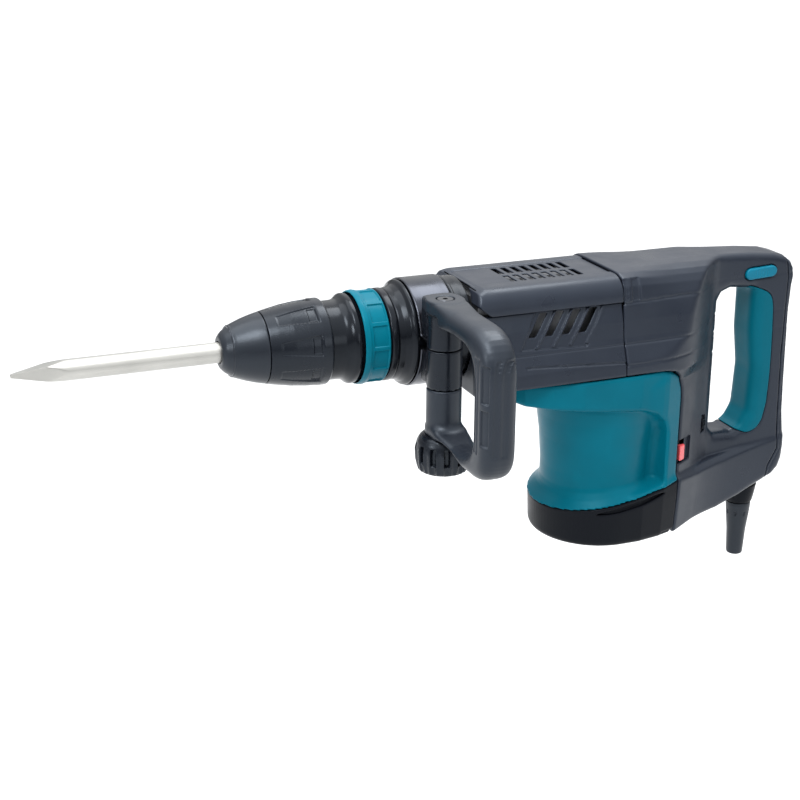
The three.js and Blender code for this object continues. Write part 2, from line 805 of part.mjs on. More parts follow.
function makeSideCover() {
  const shrink = (k, d) => mirrored(SIDE_HALF.map(([y, z]) => [y * k - d, z]));
  const outside = loft([
    atX(214, shrink(0.84, 0)),
    atX(219, shrink(0.93, 0)),
    atX(228, shrink(0.99, 0)),
    atX(250, shrink(1, 0)),
    atX(SEAM_X - GAP / 2, shrink(1, 0)),
  ]);
  const inside = loft([
    atX(219.5, shrink(0.86, WALL).map(([y, z]) => [y, z > 0 ? 40 : z])),
    atX(232, shrink(0.99, WALL).map(([y, z]) => [y, z > 0 ? 40 : z])),
    atX(SEAM_X + 5, shrink(1, WALL).map(([y, z]) => [y, z > 0 ? 40 : z])),
  ]);
  const rails = LOCK_PIECES.map((side) => {
    const railY = [55 * side, 63.5 * side].sort((a, b) => a - b);
    return box(232, CHIN_END, ...railY, -50, -43);
  });
  const belowRoom = box(258, SEAM_X + 5, -61, 61, -60, -30);
  const chin = (x, half, bottom) => atX(x, [
    [half, bottom],
    [half + 1, CASE_FLOOR_Z - 0.6],
    [-half - 1, CASE_FLOOR_Z - 0.6],
    [-half, bottom],
  ]);
  const floor = loft([chin(214, 53, -49.5), chin(222, 60, -51), chin(CHIN_END, 63, -52.5)]);
  const mouth = disc("x", 48, 200, 221);
  const louvres = [];
  const LOUVRES = 4;
  for (let i = 0; i < LOUVRES; i++) {
    const x = 281 + i * 16.6;
    const outline = [
      [x - 13.6, -1.5],
      [x - 7.8, -1.5],
      [x + 4.6, 17.5],
      [x - 1.2, 17.5],
    ];
    louvres.push(prism("y", outline, -75, -45));
    louvres.push(prism("y", outline, 45, 75));
  }
  const shell = join(cut(outside, inside, belowRoom), floor, ...rails);
  place("side_cover", cut(shell, mouth, ...louvres), look.casing);
}

function makeTopCover() {
  const half = [
    [53, LEDGE_Z],
    [53.4, 28],
    [52, 35.5],
    [48, 40.5],
    [41, 43.4],
    [30, COVER_TOP_Z],
  ];
  const height = COVER_TOP_Z - LEDGE_Z;
  const scaled = (k, drop) => mirrored(half.map(([y, z]) => [y * k, z - (drop * (z - LEDGE_Z)) / height]));
  const outside = loft([
    atX(219, scaled(0.93, 6)),
    atX(221.5, scaled(0.97, 2.5)),
    atX(226, scaled(1, 0.6)),
    atX(232, scaled(1, 0)),
    atX(SEAM_X - GAP / 2, scaled(1, 0)),
  ]);
  const innerHalf = [
    [50, LEDGE_Z - 5],
    [50.2, 28],
    [49, 34.5],
    [45.5, 38.6],
    [39, 40.6],
    [30, 41.3],
  ];
  const inside = loft([
    atX(222.2, mirrored(innerHalf.map(([y, z]) => [y * 0.93, z - 3]))),
    atX(232, mirrored(innerHalf)),
    atX(SEAM_X + 5, mirrored(innerHalf)),
  ]);
  const mouth = disc("x", 46.4, 200, 223);
  const slots = [];
  for (let row = 0; row < 2; row++)
    for (let i = 0; i < 7; i++) {
      const x = 268 + i * 9.5;
      slots.push(box(x, x + 3.6, row ? -23 : 3, row ? -3 : 23, 38, 48));
    }
  place("top_cover", cut(outside, inside, mouth, ...slots), look.casing);
}

// ---- rear casing and handle ----
function handleOutline() {
  return [
    [SEAM_X + GAP / 2, CASE_FLOOR_Z],
    [SEAM_X + GAP / 2, 46],
    [440, 46.5],
    [480, 45.4],
    [520, 42.4],
    [548, 39.4],
    [561, 35],
    [569, 27],
    [571, 17],
    [569, 8],
    [569, -20],
    [571, -90],
    [572.5, -122],
    [576, -148],
    [576, -167],
    [573, -178],
    [566, -187.5],
    [556, -192],
    [521, -206],
    [495, -213],
    [431, BASE_Z],
    [431, -100],
    [430, -72],
    [424, -54],
    [412, CASE_FLOOR_Z],
  ];
}

const HAND_HOLE = [
  [487, -128],
  [486, 0],
  [490, 7],
  [500, 10.5],
  [524, 8],
  [526, 2],
  [526.5, -38],
  [532.5, -75],
  [530, -118],
  [522, -131],
  [512, -136],
  [492, -135],
];

const GRIP_OUTLINE = [
  [520, 14],
  [540, 8],
  [554, 2],
  [558, -12],
  [559, -60],
  [558, -100],
  [555, -128],
  [545, -140],
  [531, -142],
  [516, -137],
];

const REAR_STRIP = [
  [600, 60],
  [552, 60],
  [560, 34],
  [562.5, 18],
  [562, -60],
  [564, -122],
  [566, -160],
  [556, -178],
  [548, -240],
  [600, -240],
];

const SPEED_DIAL = { x: 467.9, y: -19.2, z: -119.5, radius: 11, half: 3.4, turnDeg: -50.3 };
const LEVER = { x: 530, z: 24.5, length: 35, height: 11 };

// Moves a piece made round the Y axis to the speed dial's place, its axis along the casing's corner.
function atDial(geometry) {
  const { x, y, z, turnDeg } = SPEED_DIAL;
  return geometry.rotateZ((turnDeg * Math.PI) / 180).translate(x, y, z);
}

function leverOutline(grow) {
  const { x, z, length, height } = LEVER;
  const end = height / 2 + grow;
  const reach = length / 2 - height / 2;
  return [...arc(x + reach, z + 0.6, end, -90, 90, 5), ...arc(x - reach, z - 0.6, end, 90, 270, 5)];
}

function makeRear() {
  const sectionHalf = [
    [66, -240],
    [66, -45],
    [65, -36],
    [60, -18],
    [56.5, 0],
    [53.5, 20],
    [51, 34],
    [47, 41.5],
    [38, 45.6],
    [24, 47],
  ];
  const plan = [
    [SEAM_X - 5, -67],
    [404, -66],
    [430, -58],
    [446, -48],
    [462, -35],
    [474, -25],
    [486, -HAND_HALF],
    [600, -HAND_HALF],
  ];
  const planAt = (z, inset) => {
    const half = plan.map(([x, y]) => [x, x > 480 ? y : y + inset, z]);
    return [...half, ...half.toReversed().map(([x, y]) => [x, -y, z])];
  };
  const levels = [planAt(-230, 9), planAt(-214, 7), planAt(-180, 1.5), planAt(-150, 0), planAt(60, 0)];
  const planBlock = loft(levels);
  const side = handleOutline();
  const sideBlock = prism("y", side, -70, 70);
  const body = common(sideBlock, planBlock, prism("x", mirrored(sectionHalf), 355, 600));
  const bow = prism("y", side, -HAND_HALF, HAND_HALF, 7, 1);
  const trimmed = cut(body, box(486, 600, -40, 40, -240, 60));
  const hole = prism("y", HAND_HOLE, -60, 60);
  const whole = cut(join(trimmed, bow), hole);

  const innerPlan = plan.map(([x, y]) => [x - 6, y + 5]);
  const innerOutline = [...innerPlan, ...innerPlan.toReversed().map(([x, y]) => [x, -y])];
  const innerWalls = prism("z", innerOutline, -260, 60);
  const motorSide = box(355, 408, -70, 70, -60, 42);
  const frontRoom = join(box(355, 466, -48, 48, -42, 42), motorSide);
  const lowerRoom = box(436, 468, -70, 70, -207, -40);
  const innerHalf = sectionHalf.map(([y, z]) => [y - WALL - 0.5, z - WALL]);
  const innerSection = prism("x", mirrored(innerHalf), 350, 600);
  const room = common(join(frontRoom, lowerRoom), innerWalls, innerSection);
  const leverSlot = prism("y", leverOutline(GAP), -60, 60);
  const gripBlock = prism("y", GRIP_OUTLINE, -40, 40);
  const gripCore = box(530, 600, -HAND_HALF + 2.6, HAND_HALF - 2.6, -160, 30);
  const insert = cut(common(whole, gripBlock), gripCore, leverSlot);
  const dialRoom = atDial(disc("y", SPEED_DIAL.radius + 0.8, -SPEED_DIAL.half - 0.6, SPEED_DIAL.half + 0.6));
  const lampRoom = box(431, 451.5, -60, -40, -150, -124);
  const strip = prism("y", REAR_STRIP, -60, 60);
  const glandHole = disc("z", 12.3, -240, -190, [CORD.x, 0, 0], 20);
  const grow = ([x, z]) => [x + GAP * Math.sign(x - HAND_X), z + GAP * Math.sign(z + 64)];
  const grownOutline = GRIP_OUTLINE.map(grow);
  const grown = prism("y", grownOutline, -40, 40);
  const coreKept = box(530 + GAP, 600, -HAND_HALF + 2.6 + GAP, HAND_HALF - 2.6 - GAP, -170, 40);
  const insertRoom = cut(grown, coreKept);
  const main = cut(whole, room, leverSlot, insertRoom, dialRoom, lampRoom, strip, glandHole);
  place("rear_housing", main, look.casing);
  place("grip_insert", insert, look.tealGrip);
  const stripGap = prism("y", REAR_STRIP.map(([x, z]) => [x < 590 ? x + GAP : x, z]), -60, 60);
  place("handle_cover", common(whole, stripGap), look.casing);
}

function makeControls() {
  const lever = prism("y", leverOutline(0), -HAND_HALF - 2.5, HAND_HALF + 2.5, 1, 1);
  place("switch_lever", lever, look.tealBright);
  const dial = SPEED_DIAL;
  const teeth = 20;
  const outline = [];
  for (let i = 0; i < teeth; i++) {
    const crest = (i * 2 * Math.PI) / teeth;
    const valley = crest + Math.PI / teeth;
    const inner = dial.radius - 0.8;
    outline.push([dial.radius * Math.cos(crest), dial.radius * Math.sin(crest)]);
    outline.push([inner * Math.cos(valley), inner * Math.sin(valley)]);
  }
  const wheel = atDial(prism("y", outline, -dial.half, dial.half));
  place("speed_dial", wheel, look.darkCasing);
  place("lamp_lens", box(431.6, 440.4, -52, -41, -147.5, -128), look.redLens);
  place("switch_block", box(398, 440, -18, 18, -8, 26), look.darkCasing);
  place("speed_controller", box(438, 456, -22, 22, -110, -60), look.board);
}

// ---- cord entry ----
const CORD = { x: 540, bottom: -279 };

function makeCordEntry() {
  const gland = turned(
    "z",
    [
      [-226, 9.8],
      [-226, 15.5],
      [-222, 17.5],
      [-208.5, 19],
      [-208.5, 12],
      [-197, 12],
      [-197, 9.8],
      [-226, 9.8],
    ],
    COARSE,
    [CORD.x, 0, 0],
  );
  place("cord_gland", gland, look.darkCasing);
  const guard = turned(
    "z",
    [
      [CORD.bottom, 4.4],
      [CORD.bottom, 8],
      [-226.6, 13],
      [-226.6, 9.4],
      [-200, 9.4],
      [-200, 4.4],
      [CORD.bottom, 4.4],
    ],
    COARSE,
    [CORD.x, 0, 0],
  );
  place("cord_guard", guard, look.rubber);
}

// ---- side handle ----
const BAND = { x0: 166.5, x1: 202.5, outer: 48.5 };
const TUBE_R = 15.4;
const SPLIT_Z = 4; // between the two halves of the clamp tube
const TUBE_TOP = 35.5; // toothed face under the handle's upper boss
const TUBE_BOTTOM = -31; // toothed face above the handle's lower boss
const BOSS_TOP = 47;
const BOSS_BOTTOM = -73.5;

function makeClampBand() {
  const hoop = ring("x", BAND.outer, BARREL_R + GAP, BAND.x0, BAND.x1, [0, 0, 0], FINE);
  const mouth = box(150, 210, -60, -30, SPLIT_Z - 3.5, SPLIT_Z + 3.5);
  const ears = [
    box(BAND.x0, 193, -61, -46.5, SPLIT_Z + 3.5, SPLIT_Z + 6),
    box(BAND.x0, 193, -61, -46.5, SPLIT_Z - 6, SPLIT_Z - 3.5),
  ];
  place("clamp_band", join(cut(hoop, mouth), ...ears), look.darkSteel);

  const bore = disc("z", 5 + GAP, -200, 200, [CLAMP_X, CLAMP_Y, 0], 16);
  const tubeHalf = (z0, z1) => {
    const tube = disc("z", TUBE_R, z0, z1, [CLAMP_X, CLAMP_Y, 0]);
    const saddle = box(CLAMP_X - 12, CLAMP_X + 12, CLAMP_Y, -44, z0, z1);
    return join(tube, saddle);
  };
  const hug = disc("x", BAND.outer + GAP, 150, 210, [0, 0, 0], FINE);
  const earRoom = box(150, 210, -61.4, -40, SPLIT_Z - 6.3, SPLIT_Z + 6.3);
  const upper = cut(tubeHalf(SPLIT_Z + 0.6, TUBE_TOP), bore, hug, earRoom);
  const lower = cut(tubeHalf(TUBE_BOTTOM, SPLIT_Z - 0.6), bore, hug, earRoom);
  place("clamp_upper_half", upper, look.casing);
  place("clamp_lower_half", lower, look.casing);

  const bolt = turned(
    "z",
    [
      [-98, 0],
      [-98, 5],
      [38, 5],
      [38, 7.6],
      [BOSS_TOP + 0.3, 7.6],
      [BOSS_TOP + 0.3, 0],
    ],
    16,
    [CLAMP_X, CLAMP_Y, 0],
  );
  place("clamp_bolt", bolt, look.darkSteel);
}

function makeSideHandle() {
  const half = 15.5; // half width along X
  const outline = new THREE.Shape();
  outline.moveTo(-51, 28);
  outline.lineTo(-51, BOSS_TOP);
  outline.lineTo(-146, BOSS_TOP);
  outline.quadraticCurveTo(-185, BOSS_TOP, -185, 10);
  outline.lineTo(-185, -52);
  outline.quadraticCurveTo(-185, -79, -158, -81);
  outline.lineTo(-134, -81.5);
  outline.lineTo(-96, BOSS_BOTTOM);
  outline.lineTo(-53, BOSS_BOTTOM);
  outline.lineTo(-53, -57);
  outline.lineTo(-88, -57);
  outline.lineTo(-112, -61);
  outline.quadraticCurveTo(-155, -66, -155, -40);
  outline.lineTo(-155, 4);
  outline.quadraticCurveTo(-155, 25, -130, 26.5);
  outline.lineTo(-84, 28);
  const frame = prism("x", outline, CLAMP_X - half, CLAMP_X + half, 6, 2);
  const centre = [CLAMP_X, CLAMP_Y, 0];
  const upperBoss = turned(
    "z",
    [
      [TUBE_TOP + GAP, 0],
      [TUBE_TOP + GAP, TUBE_R],
      [38, 17],
      [BOSS_TOP, 17],
      [BOSS_TOP, 0],
    ],
    COARSE,
    centre,
  );
  const lowerBoss = turned(
    "z",
    [
      [BOSS_BOTTOM, 0],
      [BOSS_BOTTOM, 17.6],
      [-62, 17],
      [-54, TUBE_R],
      [TUBE_BOTTOM - GAP, TUBE_R],
      [TUBE_BOTTOM - GAP, 0],
    ],
    COARSE,
    centre,
  );
  const trimTop = box(150, 210, -50.9, -40, 20, 60);
  const bore = disc("z", 5 + GAP, -200, 200, centre, 16);
  const headRoom = disc("z", 7.6 + GAP, 37.7, 60, centre, 16);
  const middleRoom = box(150, 210, -86, -30, TUBE_BOTTOM - GAP, TUBE_TOP + GAP);
  const body = join(cut(frame, middleRoom), upperBoss, lowerBoss);
  place("side_handle", cut(body, trimTop, bore, headRoom), look.softGrip);
}

function makeClampKnob() {
  const lobes = 12;
  const outline = [];
  for (let i = 0; i < lobes; i++) {
    const step = (2 * Math.PI) / lobes;
    for (const [r, share] of [
      [26.2, 0.05],
      [26.2, 0.55],
      [24.3, 0.65],
      [24.3, 0.95],
    ]) {
      const angle = (i + share) * step;
      outline.push([r * Math.cos(angle), r * Math.sin(angle)]);
    }
  }
  const centre = [CLAMP_X, CLAMP_Y, 0];
  const cup = prism("z", outline, -107, -77, 3, 1).translate(...centre);
  const flange = disc("z", 20, -77, BOSS_BOTTOM - GAP, centre);
  const bore = disc("z", 5 + RUN, -100, -60, centre, 16);
  const hollow = ring("z", 20.5, 10, -130, -88, centre);
  place("clamp_knob", cut(join(cup, flange), bore, hollow), look.casing);
}

makeChisel();
makeHolder();
makeReleaseCover();
makeAngleRing();
makeBarrel();
makeStrikers();
makePiston();
makeConrod();
const motorPinionPhase = makeGearTrain();
makeCases();
makeMotor(motorPinionPhase);
makeMotorHousing();
makeBase();
makeSideCover();
makeTopCover();
makeRear();
makeControls();
makeCordEntry();
makeClampBand();
makeSideHandle();
makeClampKnob();

export default hammer;
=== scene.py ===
"""The looks of the electric demolition hammer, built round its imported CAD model.

Shapes are worked out in "tool millimetres": the hammer axis is the X axis, the nose face is x = 0,
the chisel points to -X, -Y faces the camera and +Z is up. to_frame() gives the row frame.
Soft moulded pieces are signed distance fields on a grid, skinned with surface_net().
Turned pieces are lathes.
"""
import json
import math

import bmesh
import bpy
import numpy as np
from mathutils import Matrix, Vector


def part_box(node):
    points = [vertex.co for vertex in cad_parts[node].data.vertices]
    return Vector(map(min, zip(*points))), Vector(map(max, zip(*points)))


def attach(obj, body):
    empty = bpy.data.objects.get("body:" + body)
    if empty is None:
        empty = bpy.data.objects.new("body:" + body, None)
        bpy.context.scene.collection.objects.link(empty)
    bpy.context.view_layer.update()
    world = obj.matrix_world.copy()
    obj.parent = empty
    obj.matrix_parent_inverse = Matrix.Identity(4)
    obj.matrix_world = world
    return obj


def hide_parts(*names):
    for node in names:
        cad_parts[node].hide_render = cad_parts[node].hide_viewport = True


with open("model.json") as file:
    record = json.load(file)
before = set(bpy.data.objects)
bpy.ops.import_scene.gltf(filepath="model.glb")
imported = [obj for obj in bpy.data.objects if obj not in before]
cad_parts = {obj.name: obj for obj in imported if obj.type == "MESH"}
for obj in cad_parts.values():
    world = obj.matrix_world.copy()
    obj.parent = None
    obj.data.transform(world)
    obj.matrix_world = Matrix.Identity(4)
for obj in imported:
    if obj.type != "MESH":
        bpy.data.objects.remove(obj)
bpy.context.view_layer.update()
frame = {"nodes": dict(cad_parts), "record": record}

record = frame["record"]
SLOT_OF = {s["node"]: s["material_slot"] for s in record["subparts"]}
BODY_OF = {n: b for b, nodes in record["behaviour"]["bodies"].items() for n in nodes}

MM = 0.001
COARSER = 1.0
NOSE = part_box("nose_cap")[0].x / MM
AXIS_Z = sum(c.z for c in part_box("barrel")) / 2 / MM
MOTOR_X = -NOSE  # the motor stands on the row frame's z axis
BASE_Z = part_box("base_cover")[0].z / MM - AXIS_Z
SEAM_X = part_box("side_cover")[1].x / MM - NOSE  # front and rear casings meet
CLAMP_X = sum(c.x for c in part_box("clamp_bolt")) / 2 / MM - NOSE
CLAMP_Y = sum(c.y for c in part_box("clamp_bolt")) / 2 / MM
BOLT_AXIS = (CLAMP_X, CLAMP_Y)
CORD_X = sum(c.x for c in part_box("cord_gland")) / 2 / MM - NOSE
LEDGE_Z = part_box("top_cover")[0].z / MM - AXIS_Z  # the covers of the front casing meet
COVER_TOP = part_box("top_cover")[1].z / MM - AXIS_Z
BAND = (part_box("clamp_band")[0].x / MM - NOSE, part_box("clamp_band")[1].x / MM - NOSE)
TUBE_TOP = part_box("clamp_upper_half")[1].z / MM - AXIS_Z
TUBE_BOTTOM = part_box("clamp_lower_half")[0].z / MM - AXIS_Z
BOSS_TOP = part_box("side_handle")[1].z / MM - AXIS_Z
BOSS_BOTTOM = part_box("clamp_knob")[1].z / MM - AXIS_Z + 0.3
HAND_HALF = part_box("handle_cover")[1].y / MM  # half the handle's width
HOUSING_REAR = 430.4  # x of the teal housing's rear edge
CASING_FRONT = 431.0  # x of the rear casing's front edge, beside the teal housing
SHELF_Z = -46.4  # top of the teal housing
WIDE = (-90, 90)  # a box's reach along an axis on which it doesn't cut


def to_frame(points):
    """Tool millimetres to the row frame in metres."""
    return (np.asarray(points, float) + (NOSE, 0.0, AXIS_Z)) * MM


# ---- meshes ----
def add_object(name, data):
    obj = bpy.data.objects.new(name, data)
    bpy.context.scene.collection.objects.link(obj)
    return obj


def new_piece(name, points, faces):
    mesh = bpy.data.meshes.new(name)
    mesh.from_pydata(to_frame(points).tolist(), [], [list(map(int, f)) for f in faces])
    mesh.update()
    mesh.polygons.foreach_set("use_smooth", [True] * len(mesh.polygons))
    return add_object(name, mesh)


def dress(obj, node, material):
    """The piece moves with the node's body, stands for the node and takes the given material."""
    obj.data.materials.append(material)
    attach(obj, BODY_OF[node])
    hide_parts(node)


def arc(cx, cy, radius, start, stop, steps):
    """Points on a circle from start to stop degrees."""
    turns = np.radians(np.linspace(start, stop, steps + 1))
    return [(cx + radius * math.cos(a), cy + radius * math.sin(a)) for a in turns]


def soften(points, reach, steps=4, closed=True):
    """Rounds each corner of an outline with a curve that starts and ends at most reach from it."""
    count = len(points)
    made = []
    for i in range(count):
        p = np.array(points[i], float)
        if not closed and i in (0, count - 1):
            made.append(tuple(p))
            continue
        before, after = np.array(points[i - 1], float), np.array(points[(i + 1) % count], float)
        start = p + (before - p) * min(0.48, reach / max(1e-6, np.linalg.norm(before - p)))
        stop = p + (after - p) * min(0.48, reach / max(1e-6, np.linalg.norm(after - p)))
        for t in np.linspace(0, 1, steps + 1):
            made.append(tuple((1 - t) ** 2 * start + 2 * t * (1 - t) * p + t * t * stop))
    return made


def curved(points):
    """The open line with its corners drawn out into curves."""
    return soften(points, 30, 6, closed=False)


def mirrored(half):
    """A closed outline of (y, z) from its half with y > 0."""
    return half + [(-y, z) for y, z in half[::-1]]


def mirrored_plan(half):
    """A closed outline of (x, y) from its half with y < 0."""
    return half + [(x, -y) for x, y in half[::-1]]


def dense(points, spacing):
    """The closed outline with extra points, so that none of its edges is longer than spacing."""
    made = []
    for a, b in zip(points, points[1:] + points[:1]):
        a, b = np.array(a, float), np.array(b, float)
        steps = max(1, int(np.linalg.norm(b - a) / spacing))
        made += [tuple(a + (b - a) * k / steps) for k in range(steps)]
    return made


def lathe(name, profile, axis="x", at=(0, 0, 0), sides=144, relief=None, spacing=0.6, sharp_deg=40):
    """Turns a closed profile of (along, radius) round the axis.

    relief(along, radius, angle) is the depth that is cut from the radius.
    """
    points = dense(list(profile), spacing * COARSER) if relief else list(profile)
    along = np.array([p[0] for p in points])[:, None]
    radius = np.array([p[1] for p in points])[:, None]
    angle = np.linspace(0, 2 * math.pi, sides, endpoint=False)[None, :]
    r = radius - (relief(along, radius, angle) if relief else 0)
    r = np.maximum(np.broadcast_to(r, (len(points), sides)), 0)
    a = np.broadcast_to(along, r.shape)
    u, v = r * np.cos(angle), r * np.sin(angle)
    places = np.stack((a, u, v) if axis == "x" else (u, v, a), axis=-1).reshape(-1, 3)
    places = places + np.array(at)
    n = len(points)
    i, k = np.meshgrid(np.arange(n), np.arange(sides), indexing="ij")
    j, m = (i + 1) % n, (k + 1) % sides
    ring = (i * sides + k, i * sides + m, j * sides + m, j * sides + k)
    quads = np.stack(ring, axis=-1).reshape(-1, 4)
    obj = new_piece(name, places, quads)
    tidy_mesh(obj, sharp_deg)
    return obj


def turn(node, look, profile, *how, **more):
    """A lathed piece, dressed as the node."""
    dress(lathe(f"{node}_skin", profile, *how, **more), node, look)


def tidy_mesh(obj, sharp_deg):
    """Merges doubled points, turns all faces outward and sets which edges stay sharp."""
    bm = bmesh.new()
    bm.from_mesh(obj.data)
    bmesh.ops.remove_doubles(bm, verts=bm.verts, dist=1e-6)
    bmesh.ops.recalc_face_normals(bm, faces=bm.faces)
    bm.to_mesh(obj.data)
    bm.free()
    obj.data.polygons.foreach_set("use_smooth", [True] * len(obj.data.polygons))
    obj.data.set_sharp_from_angle(angle=math.radians(sharp_deg))


# ---- signed distance fields: millimetres, negative inside ----
def smin(a, b, k):
    """The lower of two distances (their union), with the corner blended over k millimetres."""
    h = np.clip(0.5 + 0.5 * (b - a) / k, 0, 1)
    return b * (1 - h) + a * h - k * h * (1 - h)


def smax(a, b, k):
    """The higher of two distances (what they share), blended in the same way."""
    return -smin(-a, -b, k)


def carve(body, shape, skin, depth, k):
    """Sinks a shape into a body, down to a depth below the skin."""
    return smax(body, -np.maximum(shape, -(skin + depth)), k)


def ramp(at, places, values):
    """Values between the given ones, in a grid's precision."""
    return np.interp(at, places, values).astype(np.float32)


def outline_distance(points, u, v):
    """Signed distance from a grid of u by v to a closed outline."""
    gu, gv = u[:, None].astype(np.float32), v[None, :].astype(np.float32)
    best = np.full((len(u), len(v)), 1e9, np.float32)
    inside = np.zeros(best.shape, bool)
    for (ax, ay), (bx, by) in zip(points, list(points[1:]) + [points[0]]):
        ex, ey = bx - ax, by - ay
        length = ex * ex + ey * ey
        if length < 1e-9:
            continue
        t = np.clip(((gu - ax) * ex + (gv - ay) * ey) / length, 0, 1)
        best = np.minimum(best, (gu - ax - t * ex) ** 2 + (gv - ay - t * ey) ** 2)
        if ay != by:
            level = gv + 2e-4  # never exactly at a corner of the outline
            inside ^= ((ay > level) != (by > level)) & (gu < ax + (level - ay) * ex / ey)
    return np.where(inside, -np.sqrt(best), np.sqrt(best)).astype(np.float32)


class Grid:
    """A box of space sampled every step millimetres.

    With even=True only y <= 0 is worked out, and then mirrored.
    """

    def __init__(self, x, y, z, step, even=True):
        self.step = step * COARSER
        self.even = even

        def steps(lo, hi):
            return np.arange(math.ceil((hi - lo) / self.step) + 1) * self.step + lo

        self.x, self.z = steps(*x), steps(*z)
        if even:
            self.y = -self.step * np.arange(math.ceil(-y[0] / self.step) + 1)[::-1]
        else:
            self.y = steps(*y)
        self.X = self.x[:, None, None].astype(np.float32)
        self.Y = self.y[None, :, None].astype(np.float32)
        self.Z = self.z[None, None, :].astype(np.float32)

    # An endless bar along one axis whose section is the outline.
    def along_x(self, outline):
        return outline_distance(outline, self.y, self.z)[None, :, :]

    def along_y(self, outline):
        return outline_distance(outline, self.x, self.z)[:, None, :]

    def along_z(self, outline):
        return outline_distance(outline, self.x, self.y)[:, :, None]

    def box(self, x, y, z):
        dx = np.maximum(x[0] - self.X, self.X - x[1])
        dy = np.maximum(y[0] - self.Y, self.Y - y[1])
        dz = np.maximum(z[0] - self.Z, self.Z - z[1])
        return np.maximum(np.maximum(dx, dy), dz)

    def cylinder(self, axis, centre, radius):
        """An endless cylinder along x, y or z through a point of the other two axes."""
        a, b = {"x": (self.Y, self.Z), "y": (self.X, self.Z), "z": (self.X, self.Y)}[axis]
        return np.sqrt((a - centre[0]) ** 2 + (b - centre[1]) ** 2) - radius

    def piece(self, node, values, look, soft, far=None):
        """The surface where the values are zero, smoothed and dressed as the node.

        The far side of an even grid has values of its own if far is given.
        """
        values = np.broadcast_to(values, (len(self.x), len(self.y), len(self.z)))
        if self.even:
            far = values if far is None else np.broadcast_to(far, values.shape)
            values = np.concatenate([values, far[:, -2::-1, :]], axis=1)
        places, quads = surface_net(values, self.step)
        places += np.array([self.x[0], self.y[0], self.z[0]])
        obj = new_piece(f"{node}_skin", places, quads)
        modifier = obj.modifiers.new("soften", "SMOOTH")
        modifier.factor = 0.5
        modifier.iterations = soft
        dress(obj, node, look)


def surface_net(values, step):
    """Vertices and outward quads of the zero surface of a grid of values."""
    inside = values < 0
    low = inside[:-1, :-1, :-1]
    mixed = np.zeros(low.shape, bool)
    corners = [(i, j, k) for i in (0, 1) for j in (0, 1) for k in (0, 1)]
    nx, ny, nz = low.shape
    for i, j, k in corners[1:]:
        mixed |= inside[i : i + nx, j : j + ny, k : k + nz] != low
    cells = np.argwhere(mixed)
    index = np.full(mixed.shape, -1, np.int32)
    index[mixed] = np.arange(len(cells))
    total = np.zeros((len(cells), 3))
    count = np.zeros(len(cells))
    for a in corners:
        for axis in range(3):
            if a[axis]:
                continue
            b = tuple(1 if n == axis else a[n] for n in range(3))
            va = values[tuple((cells + a).T)]
            vb = values[tuple((cells + b).T)]
            hit = (va < 0) != (vb < 0)
            share = va[hit] / (va[hit] - vb[hit])
            point = np.tile(np.array(a, float), (hit.sum(), 1))
            point[:, axis] += share
            total[hit] += point
            count[hit] += 1
    places = (cells + total / count[:, None]) * step
    quads = []
    for axis in range(3):
        u, v = (axis + 1) % 3, (axis + 2) % 3
        first = [slice(None)] * 3
        second = [slice(None)] * 3
        first[axis], second[axis] = slice(0, -1), slice(1, None)
        a, b = inside[tuple(first)], inside[tuple(second)]
        edges = np.argwhere(a != b)
        ok = (edges[:, u] > 0) & (edges[:, v] > 0)
        ok &= (edges[:, u] < inside.shape[u] - 1) & (edges[:, v] < inside.shape[v] - 1)
        edges = edges[ok]
        leaving = a[tuple(edges.T)]
        ring = []
        for du, dv in ((0, 0), (-1, 0), (-1, -1), (0, -1)):
            cell = edges.copy()
            cell[:, u] += du
            cell[:, v] += dv
            ring.append(index[tuple(cell.T)])
        quad = np.stack(ring, axis=1)
        quad[leaving] = quad[leaving][:, ::-1]
        quads.append(quad[:, ::-1])
    return places, np.concatenate(quads)


